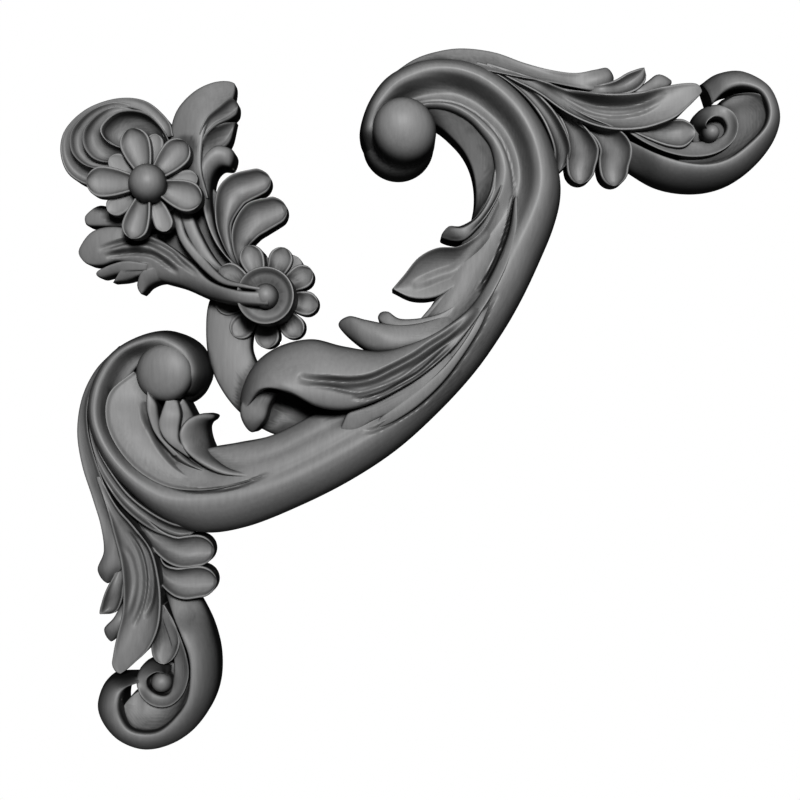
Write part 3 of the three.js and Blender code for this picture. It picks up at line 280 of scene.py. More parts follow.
class Relief:
    """Closed body of rings that run across the face and back under it."""

    def __init__(self, rings: np.ndarray) -> None:
        """Keeps the rings: (ring, point, xyz) in drawn x, height, drawn z."""
        self.rings = rings

    def faces(self) -> list[tuple[int, ...]]:
        """Side faces ring by ring, with a closed fan at the root and at an open end."""
        count = self.rings.shape[1]
        last = (len(self.rings) - 1) * count
        found: list[tuple[int, ...]] = []
        for i in range(len(self.rings) - 1):
            for j in range(count):
                a, b = i * count + j, i * count + (j + 1) % count
                found.append((a, b, b + count))
                found.append((a, b + count, a + count))
        middle = (count - 2) // 2
        fan = [((count - 1) if j < middle else (count - 2), j, j + 1) for j in range(count - 3)]
        fan.append((count - 1, middle, count - 2))
        found.extend((c, b, a) for a, b, c in fan)
        right, left = self.rings[-1][-2], self.rings[-1][-1]
        if np.hypot(right[0] - left[0], right[2] - left[2]) > OPEN_END:
            found.extend((a + last, b + last, c + last) for a, b, c in fan)
        return found

    def mesh(self, name: str) -> bpy.types.Mesh:
        """Welds the rings into a closed mesh in metres, faces out."""
        return welded_mesh(name, self.rings.reshape(-1, 3), self.faces())


def welded_mesh(name: str, drawn: np.ndarray, faces: list[tuple[int, ...]]) -> bpy.types.Mesh:
    """Makes a closed mesh from drawn points.

    Args:
        name: name of the mesh.
        drawn: points as drawn x, height, drawn z in millimetres.
        faces: three point numbers for each face.

    Returns:
        The mesh in metres, welded, without empty faces and facing out.
    """
    points = np.stack([drawn[:, 0] - MOUNT[0], -drawn[:, 1], drawn[:, 2] - MOUNT[1]], 1)
    unique, index = np.unique(np.round(points, WELD_DIGITS), axis=0, return_inverse=True)
    index = index.ravel()
    kept = np.array([index[list(face)] for face in faces])
    whole = (kept[:, 0] != kept[:, 1]) & (kept[:, 1] != kept[:, 2]) & (kept[:, 2] != kept[:, 0])
    kept = kept[whole]
    a, b, c = (unique[kept[:, k]] for k in range(3))
    if np.einsum("ij,ij->", a, np.cross(b, c)) < 0:
        kept = kept[:, ::-1]
    mesh = bpy.data.meshes.new(name)
    mesh.from_pydata((unique * MM).tolist(), [], kept.tolist())
    return mesh


class StripCarver:
    """Turns one drawn strip into a closed body with its fine carving."""

    def __init__(self, strip: Strip) -> None:
        """Keeps the strip."""
        self.strip = strip

    def places(self) -> np.ndarray:
        """Places along the strip, close together towards a round tip."""
        spans = row_spans(np.array(self.strip.rows, float))
        found = [np.array([0.0])]
        for k, length in enumerate(spans):
            steps = max(2, int(math.ceil(length / ALONG_STEP / self.strip.fine)))
            share = np.linspace(0, 1, steps + 1)[1:]
            if k == len(spans) - 1 and self.strip.tip is Tip.ROUND:
                share = np.sin(np.linspace(0, math.pi / 2, steps + TIP_STEPS + 1)[1:])
            found.append(k + share)
        return np.concatenate(found)

    def ring(self, row: np.ndarray, inner: int) -> np.ndarray:
        """Points across the face at one place.

        Args:
            row: values of the drawn rows at that place.
            inner: how many points lie between the softened edges.

        Returns:
            Drawn x, height, drawn z and distance from the nearer edge of each point.
        """
        strip = self.strip
        lx, lz, rx, rz, left, right, crown = row
        width = math.hypot(rx - lx, rz - lz)
        across = edge_places(width, inner)
        u = across / width if width > 1e-4 else np.zeros_like(across)
        land = strip.land * min(1.0, width / LAND_FULL_WIDTH)
        v = np.clip((across - land) / max(width - 2 * land, 1e-4), 0, 1)
        depth = crown * strip.gain
        if strip.form is Form.BOWL:
            depth *= min(1.0, width / BOWL_FULL_WIDTH)
        height = left + (right - left) * u + depth * face_share(strip.form, v**strip.lean)
        for gap, rise in zip((across, width - across), strip.bead):
            height = height + rise * bead_share(gap, width)
        nearer = np.minimum(across, width - across)
        return np.stack([lx + (rx - lx) * u, height, lz + (rz - lz) * u, nearer], 1)

    def body(self) -> Relief:
        """Carves the strip."""
        strip = self.strip
        rows = smooth_rows(np.array(strip.rows, float), self.places(), strip.tip)
        widest = np.hypot(rows[:, 2] - rows[:, 0], rows[:, 3] - rows[:, 1]).max()
        inner = int(np.clip(round(widest / ACROSS_STEP / strip.fine), FEWEST_ACROSS, MOST_ACROSS))
        face = np.array([self.ring(row, inner) for row in rows])
        for cut in strip.cuts:
            face[..., 1] -= line_depth(face[..., 0], face[..., 2], cut)
        radius = np.minimum(EDGE_RADIUS, face[..., 3].max(1, keepdims=True))
        face[..., 1] -= softened(face, np.maximum(radius, 1e-6))
        face[..., 1] = np.maximum(face[..., 1], strip.under + LEAST_WOOD)
        return Relief(with_feet(face, strip.under))


def face_share(form: Form, u: np.ndarray) -> np.ndarray:
    """Height of a face over the line between its rims, as a share of its crown."""
    inside = np.clip(1 - (2 * u - 1) ** 2, 0, 1)
    if form is Form.ROUND:
        return np.sqrt(inside)
    if form is Form.SCOOP:
        return inside**SCOOP_POWER
    if form is Form.BOWL:
        return 1 - np.abs(2 * u - 1) ** BOWL_POWER
    return np.zeros_like(u)


def bead_share(gap: np.ndarray, width: float) -> np.ndarray:
    """Shape of a raised rim at a distance from its edge, going out on a narrow strip."""
    return min(1.0, width / BEAD_FULL_WIDTH) * np.clip(1 - gap / BEAD_BREADTH, 0, 1) ** BEAD_POWER


@dataclass(frozen=True)
class Section:
    """Profile of the big scroll at one station.

    Attributes:
        at: place along the scroll, counted in rows.
        heights: height at each of PROFILE_SHARES.
    """

    at: float
    heights: tuple


@dataclass(frozen=True)
class Scroll:
    """The big scroll between its two eyes.

    Attributes:
        rows: (outer x, outer z, inner x, inner z) from the upper eye to the lower one.
        sections: its profiles.
        cuts: lines carved into its face.
    """

    rows: tuple
    sections: tuple
    cuts: tuple

    def heights(self, place: float, u: np.ndarray) -> np.ndarray:
        """Heights across the scroll, eased between the two nearest profiles.

        Args:
            place: place along the scroll, counted in rows.
            u: shares across it.

        Returns:
            One height for each share.
        """
        stations = [section.at for section in self.sections]
        k = int(np.clip(np.searchsorted(stations, place, side="right") - 1, 0, len(stations) - 2))
        share = np.clip((place - stations[k]) / (stations[k + 1] - stations[k]), 0, 1)
        eased = share * share * (3 - 2 * share)
        first, second = (np.array(self.sections[k + j].heights, float) for j in (0, 1))
        fine = np.linspace(0, 1, PROFILE_SAMPLES)
        level = np.interp(fine, PROFILE_SHARES, first + (second - first) * eased)
        window = np.hanning(2 * PROFILE_SOFTNESS + 1)
        padded = np.pad(level, PROFILE_SOFTNESS, mode="reflect", reflect_type="odd")
        soft = np.convolve(padded, window / window.sum(), mode="valid")
        return np.interp(u, fine, soft)

    def ring(self, place: float, row: np.ndarray) -> np.ndarray:
        """Drawn x, height, drawn z and distance from the nearer edge, across the scroll."""
        ox, oz, ix, iz = row
        width = math.hypot(ix - ox, iz - oz)
        across = edge_places(width, MOST_ACROSS)
        u = across / width
        gap = np.minimum(across, width - across)
        return np.stack([ox + (ix - ox) * u, self.heights(place, u), oz + (iz - oz) * u, gap], 1)

    def body(self) -> Relief:
        """Carves the scroll."""
        rows = np.array(self.rows, float)
        found = [np.array([0.0])]
        for k, length in enumerate(row_spans(rows)):
            found.append(k + np.linspace(0, 1, int(math.ceil(length / ALONG_STEP)) + 1)[1:])
        places = np.concatenate(found)
        smooth = smooth_rows(rows, places, Tip.OPEN)
        face = np.array([self.ring(place, row) for place, row in zip(places, smooth)])
        for cut in self.cuts:
            face[..., 1] -= line_depth(face[..., 0], face[..., 2], cut)
        face[..., 1] -= softened(face, EDGE_RADIUS)
        return Relief(with_feet(face, 0))


@dataclass(frozen=True)
class Round:
    """Round body turned about an axis that stands out of the wall.

    Attributes:
        x: drawn place of the axis.
        z: drawn place of the axis.
        profile: (radius, height) points from the foot of its wall to its middle.
        sides: facets around it.
        lean: (x, z) that its top stands away from the axis.
    """

    x: float
    z: float
    profile: tuple
    sides: int = 72
    lean: tuple = (0.0, 0.0)

    def mesh(self, name: str) -> bpy.types.Mesh:
        """Turns the profile into a closed mesh."""
        closed = np.array([(0.0, 0.0), (self.profile[0][0], 0.0), *self.profile])
        turn = np.linspace(0, 2 * math.pi, self.sides, endpoint=False)
        radius, height = closed[:, 0], closed[:, 1]
        rim = self.profile[0][1]
        rise = np.clip((height - rim) / max(height.max() - rim, 1e-6), 0, 1) ** LEAN_POWER
        x = self.x + np.outer(np.cos(turn), radius) + rise * self.lean[0]
        z = self.z + np.outer(np.sin(turn), radius) + rise * self.lean[1]
        points = np.stack([x, np.broadcast_to(height, x.shape), z], 2).reshape(-1, 3)
        count = len(closed)
        faces = []
        for i in range(self.sides):
            for j in range(count - 1):
                a, b = i * count + j, (i + 1) % self.sides * count + j
                faces.append((a, a + 1, b + 1))
                faces.append((a, b + 1, b))
        return welded_mesh(name, points, faces)


def dome(radius: float, rim: float, top: float, power: float = 1.0) -> tuple:
    """Points over a dome from its rim to its top.

    Args:
        radius: radius at the rim.
        rim: height of the rim.
        top: height of the top.
        power: under one makes it fuller.

    Returns:
        Its (radius, height) points.
    """
    turn = np.linspace(0, math.pi / 2, DOME_POINTS)
    outward, upward = np.cos(turn), np.sin(turn) ** power
    points = [(radius * o, rim + (top - rim) * h) for o, h in zip(outward, upward)]
    points[-1] = (0.0, top)
    return tuple(points)


def round_end(rows: tuple, reach: float, rim: float) -> tuple:
    """Closes a lobe with a half-round end.

    Args:
        rows: rows up to the last wide one.
        reach: distance from that row to the tip.
        rim: height of the rim at the tip.

    Returns:
        The rows with those of the round end.
    """
    lx, lz, rx, rz, left, right, crown = rows[-1]
    middle = np.array([(lx + rx) / 2, (lz + rz) / 2])
    side = np.array([rx - lx, rz - lz]) / 2
    ahead = np.array([-side[1], side[0]]) / np.linalg.norm(side)
    before = (np.array(rows[-2][0:2]) + np.array(rows[-2][2:4])) / 2
    if ahead @ (middle - before) < 0:
        ahead = -ahead
    added = []
    for turn in np.radians(END_TURNS):
        across, along = math.cos(turn), math.sin(turn)
        centre = middle + ahead * reach * along
        rims = [height + (rim - height) * along**2 for height in (left, right)]
        added.append((*(centre - side * across), *(centre + side * across), *rims, crown * across))
    return (*rows, *added)


@dataclass(frozen=True)
class Petal:
    """Petal that runs outward from a flower's middle.

    Attributes:
        reach: distance of its tip from the middle.
        width: greatest width.
        rim: height of its rim.
        hollow: depth of its bowl, or nothing for a flat petal.
        under: height of its underside.
        bead: height of its raised rim.
        start: distance of its foot from the middle.
    """

    reach: float
    width: float
    rim: float
    hollow: float = 0.0
    under: float = 0.0
    bead: float = 0.5
    start: float = 3.0

    def strip(self, middle: tuple, angle: float) -> Strip:
        """Strip to carve, from a middle in a direction in degrees."""
        turn = math.radians(angle)
        along = np.array([math.cos(turn), math.sin(turn)])
        side = np.array([-along[1], along[0]]) * self.width / 2
        length = self.reach - self.start - self.width / 2
        rows = []
        for t, share in PETAL_SHAPE:
            centre = np.array(middle) + along * (self.start + length * t)
            depth = -self.hollow * min(1.0, PETAL_FOOT + t)
            rows.append((*(centre + side * share), *(centre - side * share), self.rim, self.rim, depth))
        return Strip(
            rows=round_end(tuple(rows), self.width / 2, self.rim),
            form=Form.BOWL if self.hollow > 0 else Form.SCOOP,
            under=self.under,
            bead=(self.bead, self.bead),
            land=PETAL_LAND if self.hollow > 0 else 0.0,
        )


def joined(name: str, meshes: list[bpy.types.Mesh]) -> bpy.types.Object:
    """Joins closed meshes into one carved body.

    Args:
        name: name of the object.
        meshes: closed meshes that overlap each other.

    Returns:
        One object whose mesh is their union.
    """
    folder = bpy.data.collections.new(name + "_parts")
    bpy.context.scene.collection.children.link(folder)
    parts = []
    for mesh in meshes[1:]:
        part = bpy.data.objects.new(mesh.name, mesh)
        folder.objects.link(part)
        parts.append(part)
    whole = bpy.data.objects.new(name, meshes[0])
    bpy.context.scene.collection.objects.link(whole)
    union = whole.modifiers.new("union", "BOOLEAN")
    union.operation = "UNION"
    union.solver = "MANIFOLD"
    union.operand_type = "COLLECTION"
    union.collection = folder
    settle(whole)
    for part in parts:
        bpy.data.objects.remove(part)
    bpy.data.collections.remove(folder)
    return whole


def settle(whole: bpy.types.Object) -> None:
    """Turns the object's modifiers into its mesh."""
    bpy.context.view_layer.update()
    evaluated = whole.evaluated_get(bpy.context.evaluated_depsgraph_get())
    carved = bpy.data.meshes.new_from_object(evaluated)
    whole.modifiers.clear()
    carved.name = whole.name
    whole.data = carved


def triangle_count(mesh: bpy.types.Mesh) -> int:
    """Triangles that the mesh's faces make."""
    return sum(len(face.vertices) - 2 for face in mesh.polygons)


def thin_out(whole: bpy.types.Object) -> None:
    """Takes facets out where the surface is nearly flat, down to the most that it may have."""
    share = MOST_TRIANGLES / triangle_count(whole.data)
    if share < 1:
        whole.modifiers.new("fewer", "DECIMATE").ratio = share
        settle(whole)


# The big scroll, from its upper eye to its lower eye
SCROLL_ROWS = (
    (-20.3, 102.2, -14, 107), (-25.8, 112, -15, 112), (-23.5, 123.3, -11, 118),
    (-16.3, 133.9, -4, 121), (-4.2, 140.3, 3, 121.8), (8, 141.2, 10, 120.5),
    (20, 138.8, 16.5, 116.8), (31, 133, 21.5, 111.5), (40.5, 124.3, 24.5, 107),
    (48, 113, 26, 101.5), (52, 100, 26.2, 96), (52.7, 89, 24.5, 90), (50, 77.4, 21.3, 84.5),
    (44.8, 64.6, 17.3, 77.5), (37.9, 49.9, 11.5, 66), (30.1, 36.3, 4.8, 51),
    (19.3, 20.9, -4.5, 37), (5.4, 5.6, -15, 24.5), (-11.2, -9.4, -28, 12.5),
    (-29.7, -21.6, -43, 4.6), (-49.6, -31.6, -59.5, -3.6), (-69.8, -39.5, -74, -6.8),
    (-87, -41.8, -86, -9), (-102, -36.7, -97, -13), (-115, -26, -107, -11),
    (-124.5, -13.5, -114, -4), (-130, 1, -117.5, 5), (-129.5, 14, -116, 15),
    (-123.1, 26.7, -111, 23), (-112.2, 34.5, -106, 26), (-100, 37.2, -100, 27),
    (-88.7, 31.8, -96, 24), (-84.4, 21, -95, 20), (-88.5, 12.2, -97, 16),
    (-95.5, 9.8, -99.5, 14.5),
)

INNER_LEAVES = (
    Strip(form=Form.BOWL, gain=1.4, land=0.9, bead=(0.5, 0.3), fine=0.8, rows=(
        (29.8, 97.6, 26.3, 98.8, 18, 18, 0), (28.7, 90.4, 24.2, 89.1, 21, 19.3, -1),
        (25.2, 83.3, 19.1, 80.3, 22, 20, -1.6), (20.6, 76.8, 13.1, 76.5, 21.4, 20, -1.6),
        (14.1, 71.3, 8.6, 76.6, 16.5, 18, 0.5), (6.2, 72.9, 6.2, 72.9, 13, 13, 0),
    )),
    Strip(form=Form.SCOOP, tip=Tip.SHARP, gain=1.2, bead=(0.0, 0.6), lean=1.3, fine=0.8, rows=(
        (33.6, 88.1, 29.6, 93.2, 17.5, 17.5, 0), (31.2, 78, 26.2, 83.9, 18, 20.5, -0.5),
        (27.6, 66.9, 20.8, 74.1, 18, 21.5, -1.5), (20.6, 58.4, 12.7, 68.6, 18, 22, -3),
        (11.9, 53.6, 4.1, 67.8, 18, 22, -4), (3.3, 49.4, -2.9, 64.4, 17, 20, -3),
        (-5.4, 49.2, -8.5, 57.9, 16, 18, -1.5), (-13.1, 52.7, -13.1, 52.7, 16, 16, 0),
    ), cuts=(
        Cut(((24, 74), (18, 66.5), (11.5, 60.5), (5, 58), (0, 56), (-5, 54)), -1.5, 6.0),
    )),
    Strip(form=Form.FLAT, tip=Tip.OPEN, rows=(
        (32.7, 80.3, 27.2, 75.3, 15, 17, 0), (27.8, 65.4, 20.2, 62.3, 15.5, 18.5, 0),
        (20.8, 53.9, 12.2, 54.4, 16, 18, 0), (11.2, 45.7, 5.2, 49.5, 17, 17, 0),
        (-1.9, 40.9, -1.9, 41.6, 16, 16, 0),
    )),
)

BIG_LEAF = (
    Strip(form=Form.ROUND, tip=Tip.OPEN, fine=0.75, rows=(
        (33.9, 87.7, 35, 87.7, 19, 19, 0), (31.8, 75.4, 34.4, 75.1, 21, 23, 0.8),
        (27.8, 64.2, 31.4, 63.3, 22, 24.8, 0.8), (22, 52.8, 26.2, 52, 22.5, 25.6, 1),
        (14.8, 43.6, 19.5, 41.3, 21, 26.3, 2), (5.2, 36.8, 10.4, 29.6, 22, 27, 2.5),
        (-6, 31.6, 0.3, 20.6, 22, 27.6, 3.5), (-17.8, 28.7, -10, 14, 21, 28, 5),
        (-31.5, 30.5, -20.1, 9, 20, 28.2, 6.5), (-43.9, 33.3, -30.6, 6.2, 19, 27.6, 8),
        (-56.3, 30.6, -41.1, 7.4, 18, 27.6, 8), (-65.6, 23.9, -51.2, 12.4, 18, 28, 7),
        (-70.9, 13.6, -61.4, 13.8, 17, 27, 4), (-71.4, 3.8, -69.7, 4.9, 17, 18, 0.5),
    ), cuts=(
        Cut((
            (-48, 18.5), (-43.7, 17.4), (-36.4, 16.9), (-28.1, 16.5), (-20.4, 17.8), (-12.7, 21.4),
            (-4.3, 25.9), (2.1, 30.3), (8.5, 34.4), (14, 39), (19, 44.5)
        ), 3.8, 5.4),
        Cut((
            (-44, 15.8), (-36.4, 14.9), (-26.8, 12.9), (-20.4, 13.9), (-10.8, 17.8), (-4.3, 22.2),
            (2.1, 27.1), (8.5, 32.3), (13.6, 36.8)
        ), -1.1, 2.6),
        Cut((
            (-28, 10.8), (-23.6, 10.5), (-17, 12.4), (-10.8, 15.5), (-3.1, 20.1), (3.4, 25.6),
            (8.5, 30.4)
        ), 1.9, 2.4),
        Cut(((-12, 13.6), (-4.3, 17.6), (5.3, 25.4), (11.7, 31.8)), -0.7, 1.7),
    )),
    Strip(form=Form.ROUND, rows=(
        (-67.4, 14.1, -57.2, 12.6, 20, 19, 3), (-71.1, 7.9, -59.9, 7.9, 19, 18, 3),
        (-70.6, 1.7, -61.8, 2.3, 17, 17, 2.5), (-67.1, -2.5, -67.1, -2.5, 14, 14, 0),
    )),
    Strip(form=Form.ROUND, rows=(
        (18.5, 44.6, 14.5, 48.2, 15, 15, 0), (10.3, 37.9, 4.3, 41.6, 22, 19, 0.5),
        (2.2, 33.6, -5.9, 38.9, 23, 19.5, 1), (-5.9, 30.6, -15.1, 39.3, 22, 18, 2),
        (-14.1, 28.6, -23.3, 40.9, 20, 17, 3), (-23.3, 29.3, -30.1, 42.4, 16, 14.5, 3.5),
        (-33.7, 38.4, -33.7, 38.4, 12, 12, 0),
    )),
    Strip(form=Form.ROUND, rows=(
        (10.3, 40.4, 14.4, 48.6, 19, 19, 0), (2.2, 36.4, 6.3, 43.6, 19, 19, 0.5),
        (-5.9, 35.4, -1.8, 41.5, 19, 18, 1), (-13.1, 36.5, -10, 41.3, 18, 17, 1.5),
        (-18.2, 40.7, -14.6, 44.1, 16, 15.5, 1), (-17.7, 43.7, -17.7, 43.7, 14, 14, 0),
    )),
    Strip(form=Form.ROUND, tip=Tip.SHARP, rows=(
        (12.2, 24.1, 8.1, 28.1, 24.5, 25.5, 0), (4.1, 16.6, -2, 20, 24.8, 25.4, 0.9),
        (-6, 9.5, -12, 14, 24.4, 25, 1.2), (-14.1, 4.9, -21.1, 9, 23.6, 24.6, 1.4),
        (-20.2, 1.9, -29.2, 5.5, 22.8, 24.2, 1.5), (-27.3, -2.2, -31.8, 1.4, 22, 23, 1),
        (-33.4, -2.2, -33.4, -2.2, 21.5, 21.5, 0),
    )),
    Strip(form=Form.ROUND, tip=Tip.SHARP, rows=(
        (24.2, 46.3, 20.1, 42.2, 23.5, 25, 0), (19.7, 36.2, 14.1, 32.1, 24.6, 25.8, 0.6),
        (12.7, 25.1, 6.1, 22.1, 24.8, 25.8, 1), (5.7, 16.1, -3.9, 13.5, 24.4, 25.2, 1.2),
        (-2.9, 8, -12, 7.5, 23.8, 24.6, 1.2), (-12, 1.9, -17.9, 2.9, 23.2, 24, 0.8),
        (-19.5, -1.5, -19.5, -1.5, 22.5, 22.5, 0),
    )),
)

LEFT_LEAF = (
    Strip(tip=Tip.OPEN, bead=(0.9, 0.0), fine=0.8, rows=(
        (-62.1, -19, -63.3, -18.4, 23, 22, 0), (-73.3, -22.5, -69.4, -18.8, 22, 21, -0.5),
        (-85.4, -24.4, -78.6, -17.7, 22, 20, -1), (-98.4, -23, -88.7, -14.2, 22, 20, -1.5),
        (-110, -16.6, -96, -8.2, 22, 19, -2), (-118, -7.1, -100.1, -1.1, 22, 19, -2),
        (-121.8, 3, -102.1, 4.9, 22, 19, -1.5), (-120.5, 13, -103.4, 10, 21, 19, -1),
        (-112.5, 21, -104.9, 15, 17, 17, 0),
    ), cuts=(
        Cut((
            (-108.2, 9), (-106.9, 3), (-104.7, -1.5), (-101.1, -8.1), (-96, -13.8), (-89.8, -17.4),
            (-82, -19.5)
        ), 3.0, 4.8),
        Cut(((-101, -1), (-98, -5.5), (-94, -10), (-89, -13.8), (-82, -17.2), (-74.7, -19)), 1.6, 2.8),
    )),
    Strip(form=Form.ROUND, tip=Tip.SHARP, rows=(
        (-97, -11.2, -94, -11.2, 19, 19, 0), (-103.2, -3.1, -100.4, -4.1, 21, 20, 0.5),
        (-105.8, 4, -101.9, 3.4, 22, 20, 1), (-106.5, 9, -102.7, 9, 22, 21, 1),
        (-106.1, 13.7, -106.1, 13.7, 22, 22, 0),
    )),
    Strip(form=Form.ROUND, tip=Tip.OPEN, rows=(
        (-91.1, -12.3, -89.1, -10.3, 18, 18, 0), (-98.6, -6.1, -93.8, -6.2, 21, 20, 0.5),
        (-102, -0.1, -94.3, -1.1, 21, 20, 1), (-101.1, 5, -93.6, 4.4, 21, 20, 1),
        (-99.4, 10.3, -95, 9.8, 20, 19, 0),
    )),
    Strip(form=Form.ROUND, rows=(
        (-94.8, -8.4, -88, -6.4, 15, 13, 1), (-96.6, -0.2, -88, -0.3, 16, 13, 1.5),
        (-96.1, 5.9, -90.6, 5.4, 16, 13, 1), (-93.8, 10.5, -93.8, 10.5, 15, 15, 0),
    )),
    Strip(form=Form.ROUND, rows=(
        (-62, -19, -62, -18.6, 22, 22, 0), (-70, -19.2, -67.1, -17.5, 22, 21, 1),
        (-79.2, -17.9, -74.5, -16, 21, 19, 2.5), (-87.4, -13.6, -80.7, -11.9, 20, 15, 4),
        (-93.1, -8.1, -83.9, -6.4, 19, 9, 3.5), (-94.4, -2.1, -85.1, -1.3, 19, 8, 4),
        (-91.3, 2.9, -84.4, 1.2, 17, 9, 3.5), (-85.9, 4.9, -82.6, 2.6, 14, 11, 1.5),
        (-82.2, 4.2, -82.2, 4.2, 11, 11, 0),
    )),
)

RIGHT_LOBES = (
    Strip(bead=(0.2, 0.5), rows=(
        (-16, 133.7, -14.5, 132.7, 15, 15, 0), (-5, 141.4, -4.1, 136.8, 15, 18, 0),
        (4.9, 145.1, 6.3, 137.5, 14, 19.5, 0), (14.8, 146.2, 16.2, 137, 14, 20, -0.3),
        (26.8, 144.6, 26.6, 135, 14, 20, -0.8), (37.9, 140.7, 37.2, 133.3, 14, 19, -1.2),
        (48, 138, 47.7, 132.4, 14, 16, -1), (58.2, 137.3, 58, 131.3, 12, 12.5, -0.5),
        (66.4, 139.2, 66.7, 130.6, 10, 10, 2), (71.6, 140.5, 72.4, 132.9, 7.5, 7.5, 2.5),
        (74.4, 137.2, 74.4, 137.2, 5, 5, 0),
    )),
    Strip(form=Form.BOWL, tip=Tip.SHARP, gain=2.0, land=0.9, bead=(0.5, 0.5), rows=(
        (59.5, 133.1, 59.5, 129.7, 7, 7, 0), (67.5, 132.9, 68.3, 128.2, 12, 13, -0.5),
        (73.5, 134.6, 76.2, 128.3, 11.5, 13, -1.5), (78.6, 137.6, 82.3, 130.5, 11, 12.5, -1.5),
        (83.2, 139.4, 85.8, 134.8, 10.5, 11.5, -1), (85.6, 140.1, 85.6, 140.1, 10, 10, 0),
    )),
    Strip(form=Form.ROUND, rows=(
        (75.6, 129.4, 76.6, 127.3, 7, 7, 0), (81.6, 130.9, 83.6, 128.4, 11, 10.5, 1),
        (87, 135, 90.3, 130.9, 8.5, 8.5, 2), (91.6, 138.1, 95.5, 133, 7, 7, 2.2),
        (97.2, 136.1, 97.2, 136.1, 5, 5, 0),
    )),
    Strip(form=Form.BOWL, tip=Tip.SHARP, gain=1.9, land=0.9, bead=(0.5, 0.5), rows=(
        (19.6, 140, 19.6, 138.2, 18, 18, 0), (29.4, 136.7, 29.4, 133, 18, 19, -1),
        (39.3, 130.6, 37.8, 126.4, 18, 18, -1.5), (47.8, 123, 43.7, 119, 17.5, 18, -2),
        (53.3, 115.3, 47.2, 112.1, 16, 18, -2.5), (56.5, 108.3, 49.3, 106.4, 12.5, 16, -2.5),
        (55.8, 102.8, 50.1, 101.9, 8.5, 12, -2), (51.8, 98.8, 51.8, 98.8, 6, 6, 0),
    )),
    Strip(form=Form.BOWL, gain=1.3, land=0.8, bead=(0.5, 0.5), rows=round_end((
        (45.7, 130.4, 43.7, 128.4, 12, 12, 0), (54.7, 122.5, 50.2, 121.5, 13.5, 13.5, -1.5),
        (62.3, 115.3, 54, 114.5, 14, 13, -2.5), (66.9, 109.2, 55.4, 108.2, 12.5, 11.5, -3),
        (67.4, 105, 55, 104.6, 11, 10, -3), (66.5, 101.2, 55.2, 101, 10, 9, -2.8),
    ), 6.2, 7)),
    Strip(form=Form.BOWL, gain=1.3, land=0.8, bead=(0.5, 0.5), rows=round_end((
        (54, 126, 50, 124, 11, 11, 0), (64, 120, 58, 117.5, 13, 13, -1.5),
        (74.7, 114.9, 64.8, 112, 14, 13, -2.5), (79.6, 110.2, 67.6, 107.5, 12.5, 12, -3),
        (80.4, 105.6, 67.6, 104, 11.5, 10, -3), (79.5, 101.2, 68, 100.2, 10, 9, -2.8),
    ), 6.6, 7)),
    Strip(form=Form.BOWL, gain=1.7, land=0.9, bead=(0.5, 0.5), fine=0.85, rows=(
        (23.4, 139.6, 23.4, 137.9, 18, 18, 0), (33.2, 136.6, 33.1, 132.4, 17.5, 19, -0.5),
        (43.1, 133.5, 42.9, 127.3, 17, 19, -1.5), (53.1, 130.8, 52.8, 120.7, 16, 18, -3),
        (63.1, 129.1, 63.1, 116, 15, 17, -3.5), (73.2, 128.7, 72.9, 114.2, 14, 15.5, -3),
        (83.4, 129.7, 83, 114.7, 13, 14.5, -2), (92.4, 131.8, 91.3, 117, 12.5, 14, -1),
        (100, 133.2, 97.9, 120.3, 12, 13.5, -0.3), (105.6, 133.1, 104.3, 126.3, 11.5, 12.5, 0),
        (107.7, 130.2, 107.7, 130.2, 11, 11, 0),
    ), cuts=(
        Cut((
            (48, 132.4), (51.8, 131), (59.2, 127.8), (68, 125.6), (76.8, 125.2), (84.6, 126.4),
            (93, 130)
        ), 2.6, 5.4),
        Cut(((54.3, 127.1), (64.1, 122.6), (73.8, 121), (83.6, 122.3), (91.5, 126.1)), -0.9, 3.0),
    )),
)

